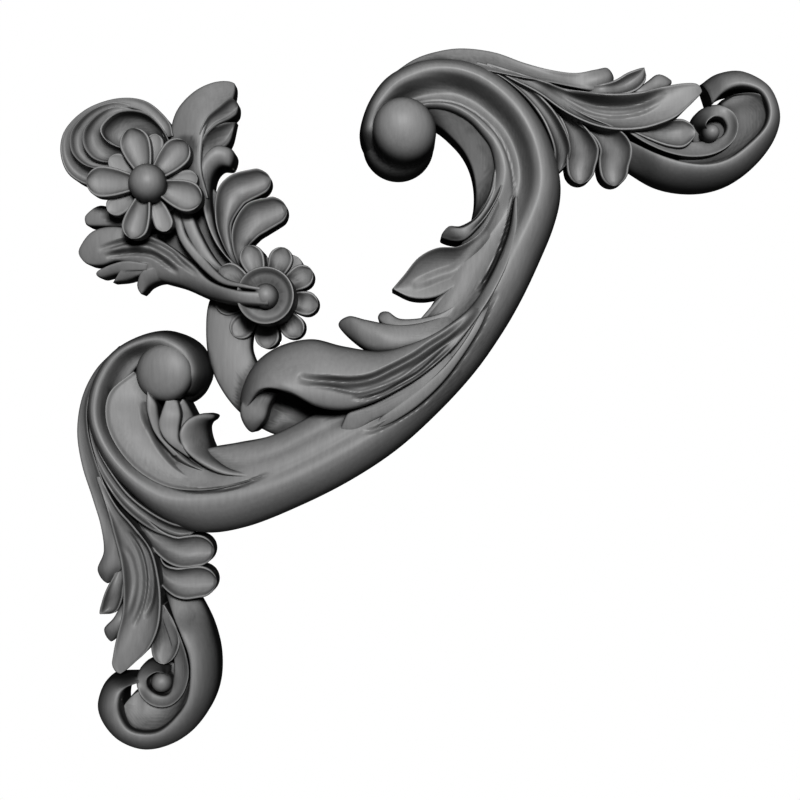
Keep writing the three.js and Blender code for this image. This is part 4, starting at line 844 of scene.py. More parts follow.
RIGHT_VOLUTE = (
    Strip(form=Form.ROUND, tip=Tip.OPEN, rows=(
        (70.7, 107.9, 73, 117, 3, 4, 1), (81, 100.5, 79.6, 111.7, 3, 9, 3),
        (91.2, 94.6, 89.1, 105.1, 5, 15, 5), (102.3, 92.2, 98.9, 101.6, 5, 16.5, 5.5),
        (113.4, 92.9, 107.8, 100.7, 5, 17, 5.5), (123.5, 97, 115.7, 102.8, 5, 17, 5.5),
        (132.6, 105.1, 123.1, 108, 5, 17, 5.5), (138.2, 114.2, 129.5, 114.8, 5, 17, 5.5),
        (139.3, 123.3, 130.9, 121.4, 5, 17, 5.5), (134.8, 133.4, 127.9, 128, 5, 16.5, 5.5),
        (124.6, 139.4, 121.3, 130.5, 5, 15, 5.5), (115, 138.6, 115.7, 129, 5, 12.5, 5.5),
        (108.7, 134.7, 111.8, 125.2, 4, 9, 4),
    )),
    Strip(bead=(1.2, 0.0), rows=(
        (98.5, 102, 100.3, 108.1, 10, 8, -0.5), (109.1, 101, 110.4, 107.6, 14.5, 8, -1.5),
        (118, 103.6, 116.2, 110.9, 16, 8, -1.5), (125.6, 108.8, 119.8, 114.9, 16.4, 7.5, -1),
        (131, 115.8, 120.3, 118.5, 16.4, 7, -0.5), (132, 122.8, 118.8, 122.1, 16.4, 7, -0.5),
        (128, 127.8, 116.5, 124.5, 16, 8, -0.5), (121.5, 129, 115.5, 125.9, 12, 9, -0.3),
        (115.2, 126.6, 115.2, 126.6, 12, 12, 0),
    )),
    Strip(tip=Tip.OPEN, rows=(
        (78.2, 114.5, 80.4, 117, 12, 11, 0), (86, 109.5, 88.4, 114, 13, 9, -0.5),
        (95, 105.8, 96.7, 111.7, 13, 8, -0.5), (104, 104.4, 104.9, 111.6, 13, 7.5, -0.7),
        (112.5, 105.7, 111.9, 112.2, 13, 8, -0.7), (119, 110, 116.3, 113.6, 13, 8.5, -0.7),
        (121.5, 116.3, 117.9, 116.8, 13, 9, -0.7), (119.6, 122.3, 116.2, 119.8, 12, 10, -0.5),
        (114.1, 125.8, 112.8, 120.3, 9, 12, 0), (108.2, 124.4, 109.9, 118.7, 5, 13.5, 0),
        (105.2, 119, 108.7, 116.5, 3, 14, 0), (107.7, 113.9, 110, 114.3, 3, 13, 0),
    )),
    Strip(form=Form.BOWL, gain=1.4, land=0.8, bead=(0.5, 0.5), rows=(
        (80.2, 116.7, 80, 114.5, 11, 12, 0), (88.2, 117.7, 87.5, 111, 11, 12, -1.5),
        (95, 119.5, 94.5, 108.6, 10, 12, -2.5), (100.6, 119.9, 100.4, 108.4, 9.5, 11.5, -2),
        (104.4, 117.6, 104.4, 111.7, 9.5, 10.5, -0.5), (105.6, 114.6, 105.6, 114.6, 9.5, 9.5, 0),
    )),
)

LOWER_LOBES = (
    Strip(bead=(0.2, 0.5), rows=(
        (-118.5, 30.9, -119.5, 29.4, 15, 15, 0), (-127.2, 21.9, -125.1, 19.9, 16, 18, 0),
        (-132.6, 11, -129.3, 9.5, 16, 19, -0.4), (-134.5, -1.9, -129.3, -1.8, 16, 19, -0.8),
        (-133, -14.9, -126.6, -13.7, 15, 18, -1), (-129.2, -27.9, -122.4, -25.7, 14, 17, -1),
        (-126.2, -39, -119.2, -36.8, 13, 15, -1), (-125.7, -49.1, -118.3, -48, 10.5, 11, 1.5),
        (-128.8, -56.8, -118.6, -55.7, 8, 8.5, 2.8), (-125.4, -62.4, -125.4, -62.4, 5, 5, 0),
    )),
    Strip(form=Form.BOWL, tip=Tip.SHARP, gain=2.0, land=0.9, bead=(0.5, 0.5), rows=(
        (-120.2, -54.6, -116.3, -54.6, 7, 7, 0), (-124.5, -63.7, -117, -61.3, 11, 12, -1),
        (-126.9, -70.2, -118, -67.4, 10, 11.5, -1.5), (-127.7, -72.8, -121, -72.9, 9, 10, -1),
        (-127.6, -73.9, -127.6, -73.9, 9.5, 9.5, 0),
    )),
    Strip(form=Form.ROUND, rows=(
        (-119.5, -69.6, -118, -69.6, 7, 7, 0), (-121.9, -75.1, -118, -75.1, 10, 10.5, 1),
        (-126.3, -80.1, -119, -80.3, 7.5, 8.5, 2.4), (-124.1, -85.4, -124.1, -85.4, 5, 5, 0),
    )),
    Strip(form=Form.BOWL, tip=Tip.SHARP, gain=1.9, land=0.9, bead=(0.5, 0.5), rows=(
        (-130, 3, -128.5, 3, 17, 17, 0), (-129, -7.9, -125.9, -7.8, 17, 18, -0.8),
        (-124.7, -19.3, -120.5, -17.7, 17, 18, -1.2), (-118.2, -29.4, -113.5, -26.5, 17, 18, -1.8),
        (-110.9, -36.7, -105.3, -33.2, 16, 17, -2), (-103.3, -41.9, -98.1, -37.4, 13, 15, -2),
        (-95.2, -44, -92.5, -39, 9.5, 12, -1.2), (-86.7, -39.9, -86.7, -39.9, 7, 7, 0),
    )),
    Strip(form=Form.BOWL, gain=1.3, land=0.8, bead=(0.5, 0.5), rows=round_end((
        (-118, -32, -116, -31, 9, 9, 0), (-112.5, -38.5, -109, -35.5, 10, 13, -1),
        (-106.7, -47.1, -102.3, -40.7, 13, 13, -2), (-100.6, -53, -96.9, -43, 13, 12, -3),
        (-95, -55.4, -93.4, -42.8, 11.5, 11, -3), (-90, -55.2, -89.2, -42.6, 10, 9.5, -2.8),
    ), 6.6, 7)),
    Strip(form=Form.BOWL, gain=1.3, land=0.8, bead=(0.5, 0.5), rows=round_end((
        (-112.5, -42.2, -111, -41.2, 8, 8, 0), (-107.5, -50.3, -105, -46.3, 8, 11, -1),
        (-103.9, -60.7, -101.8, -53.1, 11, 12.5, -2.5), (-98.9, -65.8, -97, -55.2, 12, 11.5, -3),
        (-94, -67.7, -92.4, -54.9, 11.5, 10.5, -3), (-89, -67.4, -88.2, -54.8, 10, 9.5, -2.8),
    ), 6.6, 7)),
    Strip(form=Form.BOWL, gain=1.7, land=0.9, bead=(0.5, 0.5), fine=0.85, rows=(
        (-127.1, -19.5, -125.1, -19.5, 17, 17, 0), (-122.7, -32.3, -118.8, -30.2, 17, 18.5, -0.8),
        (-120.3, -42.3, -111.4, -39.1, 16, 18, -2), (-118, -52.3, -105.4, -48, 15, 17, -3),
        (-117.3, -62.3, -103, -58, 14, 16, -3.3), (-117.8, -72.4, -102.3, -68.1, 13, 15, -2.8),
        (-120, -81.5, -103.5, -78.1, 12.5, 14.3, -1.8),
        (-121.5, -88.5, -107.2, -86.2, 12, 13.7, -0.8),
        (-122, -93.6, -112.7, -91.7, 11.5, 12.5, -0.2), (-119, -96.7, -119, -96.7, 11, 11, 0),
    ), cuts=(
        Cut((
            (-112, -42), (-108.4, -48), (-106.7, -55), (-106.4, -62), (-107.5, -69), (-110.2, -75)
        ), 2.6, 4.6),
        Cut((
            (-115.4, -41), (-111.9, -47.4), (-110.1, -53.6), (-109.5, -60), (-110.1, -67),
            (-111.9, -73.4), (-114, -78)
        ), 1.6, 3.0),
        Cut(((-117.2, -46), (-114.4, -52), (-113.2, -60), (-114.2, -68), (-116, -74)), -0.9, 3.0),
    )),
)

LOWER_VOLUTE = (
    Strip(form=Form.ROUND, tip=Tip.OPEN, rows=(
        (-94.8, -58.6, -104.2, -62.2, 3, 4, 1), (-87.4, -70.9, -99.3, -73.1, 3, 9.5, 3),
        (-83.3, -80, -94.6, -80.4, 5, 15.5, 5), (-81, -90.1, -91.3, -88.9, 5, 16.5, 5.5),
        (-81.3, -101.3, -90.8, -97.4, 5, 17, 5.5), (-84.9, -111.4, -92.2, -105.4, 5, 17, 5.5),
        (-91.9, -120.5, -96.6, -111.8, 5, 17, 5.5), (-101, -126, -102.1, -116.4, 5, 17, 5.5),
        (-111.2, -127.6, -108.1, -117.4, 5, 17, 5.5), (-121.1, -123.4, -113.7, -115.7, 5.5, 17, 5.5),
        (-127.6, -115.1, -116.9, -110.8, 6, 17, 5.5), (-128.3, -106.8, -117.4, -105.4, 7, 17, 5.5),
        (-123.8, -98.8, -115.7, -101.2, 5, 15, 5.5), (-111.6, -97.6, -110.9, -100.2, 4, 9, 3),
    )),
    Strip(bead=(1.2, 0.0), rows=(
        (-90.2, -100, -94.6, -99.8, 11, 8, -0.5), (-94.6, -110.4, -98.5, -106.3, 14.5, 8, -1),
        (-101, -117.4, -104, -108.4, 16, 8, -1.5), (-108.3, -118.6, -109.4, -106.4, 16.2, 8.5, -1.5),
        (-114.4, -116.4, -112.2, -103.6, 15.5, 9.5, -1), (-117.7, -109.5, -117.7, -109.5, 12, 12, 0),
    )),
    Strip(tip=Tip.OPEN, rows=(
        (-101, -71, -103.2, -74.2, 12, 11, 0), (-95.4, -81.8, -100.1, -84.7, 13, 9, -0.5),
        (-92.6, -90.8, -98.8, -92.9, 13, 8, -0.7), (-92.1, -97.8, -99.1, -99.5, 13, 8, -0.7),
        (-94.6, -104.7, -100.2, -104.4, 13, 8.5, -0.7), (-99.8, -109, -102.6, -105.8, 13, 9, -0.7),
        (-106.3, -108.7, -106.1, -104.7, 13, 9.5, -0.7),
        (-111.1, -104.2, -108.5, -102.2, 13, 10, -0.5), (-113.1, -99, -108.3, -98.5, 10, 12, 0),
        (-111.4, -94.4, -105.2, -95.9, 6, 13.5, 0), (-106.3, -92.2, -102.1, -95.7, 4, 14, 0),
        (-100.1, -93.9, -100.1, -97.1, 4, 13, 0),
    )),
    Strip(form=Form.BOWL, gain=1.4, land=0.8, bead=(0.5, 0.5), rows=(
        (-103.2, -70, -101.6, -69.8, 11, 12, 0), (-104.8, -78, -97.6, -76.6, 11, 12, -1.5),
        (-107.2, -85.2, -95.5, -83.8, 10, 12, -2.5), (-106.3, -91.3, -97.8, -90.3, 9.5, 11, -1),
        (-102.3, -93.4, -102.3, -93.4, 9.5, 9.5, 0),
    )),
)

SHELL = (
    Strip(form=Form.BOWL, tip=Tip.OPEN, land=0.7, bead=(0.3, 0.0), rows=(
        (-97.7, 112.2, -102.2, 112.2, 14, 13, -1), (-99.7, 118.3, -103.6, 115.6, 14, 13.6, -1),
        (-108.2, 125.7, -110, 121.6, 14, 14, -1), (-119.5, 127.2, -119.6, 123.4, 13, 14, -0.8),
        (-131.8, 123.4, -129, 120.5, 12, 13.6, -0.8), (-140.8, 115.9, -135.8, 114.3, 10, 12.6, -1.4),
        (-143.1, 107.3, -136.8, 108.1, 9, 12, -2), (-140.1, 98.7, -134.8, 104.3, 9, 11.6, -2.6),
        (-132.2, 93.9, -130.4, 101.5, 9, 11.6, -3), (-121.3, 93, -122, 100.8, 10, 11.6, -2.5),
    )),
    Strip(form=Form.BOWL, tip=Tip.OPEN, land=0.7, bead=(0.5, 0.0), rows=(
        (-110, 123.6, -110.4, 122.4, 12, 12, 0), (-120, 125.2, -119.2, 121.9, 15.2, 14.4, -1),
        (-130, 121.8, -126, 119.1, 14.6, 14.4, -2), (-137.2, 114.8, -130.9, 114.3, 13.6, 14, -3),
        (-138.1, 108.1, -131.4, 109, 13.2, 13.6, -3.2), (-135.6, 103.4, -129.4, 105.3, 12.8, 13, -3),
        (-130.6, 100.3, -126.7, 103.4, 12.6, 12.6, -2.2), (-122.5, 99.6, -121.5, 103.4, 12.6, 12, -1.5),
    )),
    Strip(form=Form.BOWL, tip=Tip.OPEN, land=0.7, bead=(0.5, 0.0), rows=(
        (-110.8, 122.4, -111.2, 121.6, 12, 12, 0), (-119.6, 123.4, -118.2, 121, 15.6, 15, -1),
        (-127.2, 120, -122.2, 117.6, 15.6, 15.8, -2.4), (-132.1, 114.4, -124.6, 114.3, 15.2, 15.8, -3.4),
        (-132.6, 108.9, -123.6, 111.4, 14.8, 15.4, -3.6), (-130.1, 104.4, -121, 109.4, 14.2, 15, -3.4),
        (-126, 102.2, -118.6, 108.2, 13.8, 14.6, -3), (-119.5, 101.8, -115.1, 107.4, 13.4, 14, -2),
    )),
    Strip(form=Form.BOWL, tip=Tip.OPEN, land=0.8, bead=(0.5, 0.0), lean=0.7, rows=(
        (-98.2, 107.8, -102, 108, 15, 10, -1), (-101.2, 114.2, -105, 111, 15.5, 10, -2),
        (-106.2, 119.8, -107.8, 112.5, 16, 10, -3), (-112, 121.8, -110.5, 112.6, 16.6, 10, -3.5),
        (-118.3, 121.2, -112.8, 112, 17, 10, -3.8), (-123, 118.1, -114.4, 110.8, 17, 10.5, -3.8),
        (-125.4, 114.4, -115.4, 109.6, 17, 11, -3.6), (-124.2, 110.9, -115.4, 108.4, 16.6, 12, -3),
        (-121, 108.3, -115, 107.2, 16, 13, -2), (-116.5, 106.8, -114, 106, 15.4, 14, -0.5),
    )),
)

UPRIGHT_LEAF = (
    Strip(form=Form.ROUND, rows=(
        (-88.4, 88.4, -84, 88, 13, 15, 0), (-96.4, 98.4, -86.3, 98.8, 13, 16, 1),
        (-99.3, 110.7, -85.8, 109.8, 12, 16, 1.5), (-97.5, 122, -83.5, 118, 11, 15, 2),
        (-90.7, 130.4, -79.7, 122.3, 10, 12, 2), (-82.3, 135, -75.8, 127, 8, 8, 1.2),
        (-75.3, 134.9, -75.3, 134.9, 5.5, 5.5, 0),
    )),
    Strip(form=Form.BOWL, gain=1.8, land=0.9, bead=(0.5, 0.5), rows=(
        (-88.1, 101.3, -86.7, 99.5, 14, 13, 0), (-87.5, 111.3, -85.7, 109.6, 16.6, 15, -0.6),
        (-84.7, 118.5, -81.5, 115.7, 17, 14, -1.2), (-80.1, 124, -76.2, 119.8, 14.5, 10, -1.4),
        (-76.2, 128, -73.8, 122.6, 11, 8, -1), (-73.8, 126.6, -73.8, 126.6, 6, 6, 0),
    )),
    Strip(form=Form.BOWL, tip=Tip.SHARP, gain=1.8, land=0.9, bead=(0.5, 0.5), rows=(
        (-89.1, 96.2, -86.7, 95.4, 14, 13, 0), (-88, 105.2, -84, 104, 16.4, 14, -0.6),
        (-85, 113.4, -79.8, 107.5, 15.5, 11, -1.2), (-80.1, 117.4, -76.6, 111.4, 12.5, 8, -1.2),
        (-74.6, 119.8, -74.6, 119.8, 6, 6, 0),
    )),
    Strip(form=Form.ROUND, rows=(
        (-74.4, 61.7, -72.5, 61.8, 14, 13, 0), (-81.5, 70.8, -77.6, 66.9, 14, 13, 1),
        (-85.6, 81, -81.8, 77.2, 14, 12, 1.5), (-87.8, 92.3, -83.5, 89.7, 13, 11, 2.5),
        (-87.8, 101.5, -82.7, 97, 13, 10, 3.5), (-82.3, 108.5, -79.9, 100.6, 12, 10, 4),
        (-76.4, 108.3, -76, 100.9, 11, 10, 3), (-74.5, 105.4, -74.5, 105.4, 10, 10, 0),
    )),
    Strip(form=Form.BOWL, gain=1.3, land=0.7, bead=(0.4, 0.4), rows=round_end((
        (-73.7, 60.6, -71.7, 61.6, 7, 7, 0), (-78.6, 69.6, -74.4, 67.8, 12, 11, -1.5),
        (-81.7, 79.6, -75.6, 78.1, 13, 10.5, -2.5), (-81.2, 91.1, -71.3, 85.6, 12.5, 11, -3),
        (-76.3, 97.6, -69, 87.7, 11, 9.5, -3), (-68.3, 100.2, -64.6, 90.2, 10, 8.5, -2.6),
    ), 5.8, 6.5)),
    Strip(form=Form.BOWL, gain=1.3, land=0.7, bead=(0.4, 0.4), rows=round_end((
        (-72, 58.8, -68.1, 62, 7, 7, 0), (-75.2, 68.8, -69.2, 68.7, 12, 10, -1.5),
        (-74.9, 78.1, -65.9, 73.4, 12.5, 9, -2.5), (-69.9, 86.6, -62, 76, 11, 9, -3),
        (-62, 89.2, -57.8, 78.6, 10, 8.5, -2.6),
    ), 5.6, 6.5)),
)

SPREADING_LEAF = (
    Strip(form=Form.ROUND, fine=0.85, rows=(
        (-59.7, 50.7, -59.7, 45.6, 25.5, 25, 1), (-71.7, 51.6, -72, 46.4, 25, 22.5, 2),
        (-82.2, 55.5, -83.8, 49.2, 19.5, 14.5, 3), (-90.6, 63.3, -94.6, 53.8, 15, 10, 4),
        (-100, 70.5, -104.9, 56.9, 13, 9, 4), (-110.2, 75.4, -112.9, 61.5, 12, 9, 3.5),
        (-121.5, 77.7, -119.8, 63.9, 11, 10, 3), (-130.3, 75.8, -126.6, 62.5, 10, 9, 2.5),
        (-135.6, 69.5, -132.1, 63, 9, 9, 1), (-135.2, 66, -135.2, 66, 9, 9, 0),
    ), cuts=(
        Cut((
            (-127, 68.5), (-122.7, 69.9), (-114.5, 71.8), (-106.9, 71.2), (-99.2, 67.5),
            (-93.7, 62.5), (-87.5, 58)
        ), 1.8, 3.4),
        Cut(((-123, 68), (-114, 69.4), (-106.3, 68.6), (-99.7, 64.9), (-94.8, 60.8)), -1.0, 2.6),
        Cut((
            (-125, 65.8), (-121.6, 66.4), (-113.4, 67.1), (-105.8, 66), (-100.3, 62.4),
            (-95.9, 59.1)
        ), 1.8, 3.2),
        Cut(((-99.2, 72), (-92.6, 66.6), (-86, 60.6), (-80, 55.5)), 1.2, 2.2),
    )),
    Strip(form=Form.ROUND, rows=(
        (-108, 63, -108.2, 60.1, 14, 13, 0), (-116.2, 64.1, -116.7, 59.8, 13, 11, 0.5),
        (-122.8, 62.9, -122.5, 58.7, 11, 8, 1), (-128.4, 60.6, -126.9, 57.7, 9, 7, 1),
        (-129, 58.9, -129, 58.9, 8, 8, 0),
    )),
    Strip(form=Form.ROUND, tip=Tip.SHARP, rows=(
        (-103.4, 63.2, -103.7, 60.4, 14, 13, 0), (-110.7, 63.9, -111.2, 58.6, 13, 11, 0.5),
        (-117.6, 62, -117, 56.7, 11.5, 8, 1), (-122.8, 56.1, -122.8, 56.1, 8, 8, 0),
    )),
    Strip(form=Form.ROUND, rows=(
        (-95.2, 62.1, -96, 56, 14, 10, 1), (-103.4, 62.2, -103.8, 56.1, 13, 9, 1.5),
        (-110.2, 60.3, -108.1, 54.5, 12, 8, 1.5), (-113, 55.1, -110.1, 52.5, 9, 8, 1),
        (-111.6, 51.6, -111.6, 51.6, 8, 8, 0),
    )),
    Strip(form=Form.ROUND, rows=(
        (-104.4, 80.3, -104.4, 76.3, 12, 12, 0), (-118.8, 83.5, -118.8, 77.5, 11, 11, 0.5),
        (-127.3, 86.2, -128.4, 77.8, 9, 9, 1.5), (-133, 83, -132.7, 78.4, 8, 8, 1),
        (-133.5, 80.5, -133.5, 80.5, 8, 8, 0),
    )),
    Strip(form=Form.ROUND, tip=Tip.OPEN, rows=(
        (-61, 52.4, -61, 50.9, 25, 25, 0.5), (-69.2, 54, -69.6, 52.2, 24.8, 24.8, 0.5),
        (-77.4, 57.1, -78.9, 54.6, 20, 20, 1),
        (-85.8, 65.4, -88.3, 62.4, 15, 15, 1), (-92.5, 74, -95.5, 72, 14, 14, 1),
        (-95, 84, -98.5, 83, 14, 14, 0.5),
    )),
    Strip(form=Form.ROUND, tip=Tip.OPEN, rows=(
        (-73.9, 57.9, -75.8, 57.4, 10, 10, 0.5), (-80.5, 63.5, -84, 61.5, 14, 14, 1.2),
        (-86, 72, -90.5, 70, 14, 14, 1.2), (-90, 82, -95, 81, 14, 14, 1),
        (-90, 92, -96, 91, 14, 14, 0.5),
    )),
)

INNER_FILLET = Strip(form=Form.FLAT, tip=Tip.SHARP, rows=(
    (-3, 121.7, -2, 118.5, 17, 11.5, 0), (2.9, 122.5, 4.6, 116.5, 18, 11.5, 0),
    (9.9, 121.5, 10.6, 111.5, 18, 11.5, 0), (16.9, 117.5, 14.9, 106.4, 18, 11.5, 0),
    (23.8, 110.5, 17.8, 100.4, 18, 11.5, 0), (27.8, 101.6, 19.3, 93.4, 18, 11.5, 0),
    (26.8, 92.6, 19.3, 86.4, 18, 11.5, 0), (21.9, 83.7, 18.1, 80.3, 18, 11.5, 0),
))

BACK_STEM = Strip(form=Form.ROUND, tip=Tip.OPEN, rows=(
    (-66.9, 67.4, -50.1, 62.8, 6, 6, 1), (-79.1, 58.8, -55.7, 50.6, 6, 6, 2.5),
    (-85.2, 49.1, -64.9, 44.6, 6, 6, 3), (-86.5, 37.4, -67.9, 36.4, 6, 6, 3),
    (-85.2, 25.2, -68.2, 28.8, 6, 6, 3), (-80.4, 14.1, -63.7, 21.4, 6, 6, 3),
    (-73, 4.9, -55, 18.4, 6, 6, 3), (-62.8, -2.2, -45.4, 14.2, 6, 6, 3),
    (-50.6, -6.3, -35.5, 10, 6, 6, 3),
))

SPRIG_WEB = Strip(form=Form.FLAT, tip=Tip.OPEN, rows=(
    (-72, 47, -61, 56, 7, 7, 0), (-90, 58, -68.5, 69, 7, 7, 0), (-102, 67, -76, 84, 7, 7, 0),
    (-110, 76, -83, 93, 7, 7, 0),
))

SCROLL_SECTIONS = (
    Section(0, (5, 7, 8, 8, 8, 8, 8, 8, 8, 8, 8, 8, 8, 8)),
    Section(1.2, (8, 13, 17.5, 20, 21.6, 22.4, 22.6, 22, 20.5, 18.5, 17, 16, 15.5, 15)),
    Section(2.2, (10, 16, 20, 22.6, 24, 24.6, 24.4, 23, 20.6, 18.4, 17.4, 17, 17, 16)),
    Section(3.4, (14, 18, 21.2, 23.6, 25, 25.4, 24.6, 22, 18.8, 17, 17, 18.4, 20, 18)),
    Section(5.5, (17, 20, 22.6, 24.6, 25.3, 24.4, 21.2, 17.8, 16.4, 16.6, 17.6, 19.4, 20.8, 19)),
    Section(10, (10, 15.5, 19.5, 22.6, 24.4, 24.9, 23.4, 19.6, 17, 17.4, 19.4, 20.8, 20.2, 18)),
    Section(14, (10, 15.5, 19.5, 22.3, 24.2, 25, 24.4, 22, 20, 19, 18.5, 18, 17, 15)),
    Section(18, (10, 15, 18.6, 21.6, 23.8, 25, 24.6, 23.2, 23.2, 22.4, 20.8, 20.4, 18.6, 15.5)),
    Section(20, (10, 15, 18.4, 21.4, 23.6, 24.9, 24.7, 23.4, 23.4, 22.6, 20.8, 20.2, 18.4, 15.5)),
    Section(22, (10, 14.5, 18, 21, 23.2, 24.6, 24.8, 23.4, 21, 20, 19, 18, 17, 15)),
    Section(24, (11, 15.5, 19, 21.6, 23.4, 24.6, 24.9, 24.2, 22.4, 20.4, 19, 18, 17, 15)),
    Section(26, (14, 18, 21, 23, 24.4, 24.8, 24.4, 23, 20.8, 18.6, 17.4, 16.6, 16, 15)),
    Section(28.4, (12, 16.5, 20, 22, 23.2, 23.6, 23, 21.4, 19.6, 18.2, 17.4, 17, 17, 17)),
    Section(30.5, (8, 13.5, 17.5, 20.4, 22.4, 23.6, 24.2, 24.3, 24, 23.4, 22.6, 21.8, 21, 20)),
    Section(32, (7, 12, 16, 19, 21, 22.2, 22.8, 22.8, 22.4, 21.8, 21, 20.2, 19.4, 18.6)),
    Section(33, (5, 9, 12.5, 15.4, 17.6, 19, 19.8, 20, 19.8, 19.4, 19, 18.6, 18.2, 17.8)),
    Section(34, (3, 5, 7, 8, 8, 8, 8, 8, 8, 8, 8, 8, 8, 8)),
)

SCROLL_CUTS = (
    Cut((
        (-6, 121.5), (-3.2, 123.3), (3.5, 124.4), (11.2, 123.5), (17.9, 120.4), (23.7, 115.6),
        (28.5, 109.3), (31.8, 101.4), (33.5, 91.8), (33.3, 82.2)
    ), 0.8, 2.0),
    Cut((
        (-120.6, 15), (-120.2, 6.4), (-118.9, -0.9), (-115.8, -7.1), (-110.6, -14.4),
        (-104.4, -19.1), (-96.1, -22.7), (-87.8, -24.4), (-77.4, -23.8), (-69.1, -21.8), (-60, -18)
    ), 2.4, 2.4),
    Cut(((33.4, 88), (32.4, 80), (30.4, 73), (27, 64), (23.2, 56.5), (19.5, 51)), 4.0, 2.8),
    Cut((
        (26.5, 50.5), (24, 46.2), (19.4, 36.4), (12.3, 25.2), (5.3, 16.2), (-3.3, 8.1),
        (-12.5, 2.2), (-19.5, -1.2), (-24, -2)
    ), 3.0, 3.4),
)

SCROLL = Scroll(SCROLL_ROWS, SCROLL_SECTIONS, SCROLL_CUTS)


@dataclass(frozen=True)
class Flower:
    """The big flower, with hollow petals over flatter ones.

    Attributes:
        middle: drawn place of its middle.
        upper: (direction in degrees, reach, share of the usual width) of each upper petal.
        lower: the same for each lower petal.
        upper_width: usual width of an upper petal.
        lower_width: usual width of a lower petal.
    """

    middle: tuple = (-105.7, 92.3)
    upper: tuple = (
        (178, 23.4, 1.0), (108, 21.8, 0.98), (47, 21.4, 0.94), (-18.5, 21.5, 1.0), (-106.7, 22.0, 0.86),
    )
    lower: tuple = (
        (146, 18.5, 1.0), (83.5, 19.6, 0.9), (8, 18.6, 0.95), (-70, 19.0, 0.95), (-148, 19.0, 1.05),
    )
    upper_width: float = 12
    lower_width: float = 8

    def strips(self) -> tuple:
        """Upper petals, then lower petals."""
        made = []
        for angle, reach, share in self.upper:
            petal = Petal(reach, self.upper_width * share, rim=22.5, hollow=2.4, under=17)
            made.append(petal.strip(self.middle, angle))
        for angle, reach, share in self.lower:
            petal = Petal(reach, self.lower_width * share, rim=19.5, hollow=0.5, under=14, bead=0.2)
            made.append(petal.strip(self.middle, angle))
        return tuple(made)

    def rounds(self) -> tuple:
        """Bed of the petals and the button on it."""
        return (Round(*self.middle, dome(12, 15, 17)), Round(*self.middle, dome(7.3, 22, 30)))


@dataclass(frozen=True)
class CupFlower:
    """The small flower round its cup.

    Attributes:
        middle: drawn place of the cup.
        shift: how far the petals' middle lies from the cup's.
        turns: directions of the petals in degrees.
        raised: directions between which the petals stand high.
        high_rim: height of the rim of a raised petal.
        rim: height of the rim of the others.
        low_turn: direction of the low petal behind them.
    """

    middle: tuple = (-61.0, 49.6)
    shift: tuple = (-1, 0.9)
    turns: tuple = tuple(range(30, 390, 40))
    raised: tuple = (100, 160)
    high_rim: float = 15.5
    rim: float = 9.5
    low_turn: float = 53

    def strips(self) -> tuple:
        """Low petal behind the others, then the ring of petals."""
        middle = (self.middle[0] + self.shift[0], self.middle[1] + self.shift[1])
        made = [Petal(19.7, 11, rim=6.5, bead=0.0, start=6).strip(middle, self.low_turn)]
        for turn in self.turns:
            rim = self.high_rim if self.raised[0] < turn < self.raised[1] else self.rim
            made.append(Petal(20.3, 9.6, rim=rim, hollow=1.6, bead=0.4, start=6).strip(middle, turn))
        return tuple(made)

    def rounds(self) -> tuple:
        """Cup with its rolled rim, and the bud in it."""
        cup = (
            (11, 22.6), (11, 23.4), (10.8, 23.9), (10.4, 24), (9.9, 23.6), (9.2, 22), (8, 20.8), (6, 20),
            (0, 19.2),
        )
        return (Round(*self.middle, cup), Round(*self.middle, dome(4.8, 21, 27), sides=48))


EYES = (
    Round(-10.7, 111.1, dome(14.1, 3, 17.5, 0.8)),
    Round(-8.4, 113, dome(12.3, 17, 29.5, 0.8), lean=(-1.6, 1.6)),
    Round(-97.5, 20.5, dome(12.5, 5, 17.5)),
    Round(-100, 20.4, dome(11.2, 17, 26.4, 0.7), lean=(2.4, 1.6)),
    Round(-122.5, 106.5, dome(9, 9, 10)),
    Round(111.3, 114.4, dome(3.5, 9, 14), sides=36),
    Round(-103.1, -100, dome(4.2, 9, 14), sides=36),
    Round(112.5, 115.5, dome(7.5, 5, 6), sides=36),
    Round(-102.5, -99.5, dome(6.5, 5, 6), sides=36),
)


@dataclass(frozen=True)
class Ornament:
    """Part of the carving.

    Attributes:
        name: its plain name.
        strips: its strips.
        rounds: its round bodies.
    """

    name: str
    strips: tuple = ()
    rounds: tuple = ()

    def meshes(self) -> list[bpy.types.Mesh]:
        """Carves its strips and turns its rounds."""
        log.info("carved %s: %d strips, %d rounds", self.name, len(self.strips), len(self.rounds))
        carved = [StripCarver(strip).body().mesh("strip") for strip in self.strips]
        return carved + [turned.mesh("round") for turned in self.rounds]


def ornaments() -> tuple[Ornament, ...]:
    """Everything that grows out of the big scroll, in the order in which it is joined."""
    flower, cup = Flower(), CupFlower()
    return (
        Ornament("fillet, stem and web", (INNER_FILLET, BACK_STEM, SPRIG_WEB)),
        Ornament("inner leaves", INNER_LEAVES),
        Ornament("big leaf", BIG_LEAF),
        Ornament("left leaf", LEFT_LEAF),
        Ornament("right lobes", RIGHT_LOBES),
        Ornament("right volute", RIGHT_VOLUTE),
        Ornament("lower lobes", LOWER_LOBES),
        Ornament("lower volute", LOWER_VOLUTE),
        Ornament("shell", SHELL),
        Ornament("upright leaf", UPRIGHT_LEAF),
        Ornament("spreading leaf", SPREADING_LEAF),
        Ornament("petals of the big flower", flower.strips()),
        Ornament("petals of the small flower", cup.strips()),
        Ornament("eyes, buttons and cup", rounds=(*EYES, *flower.rounds(), *cup.rounds())),
    )


def linear(hex_colour: str) -> tuple[float, float, float, float]:
    """Turns an sRGB hex colour into the linear values that shaders take."""
    parts = [int(hex_colour[k : k + 2], 16) / 255 for k in (1, 3, 5)]
    turned = [c / 12.92 if c <= 0.04045 else ((c + 0.055) / 1.055) ** 2.4 for c in parts]
    return (*turned, 1.0)


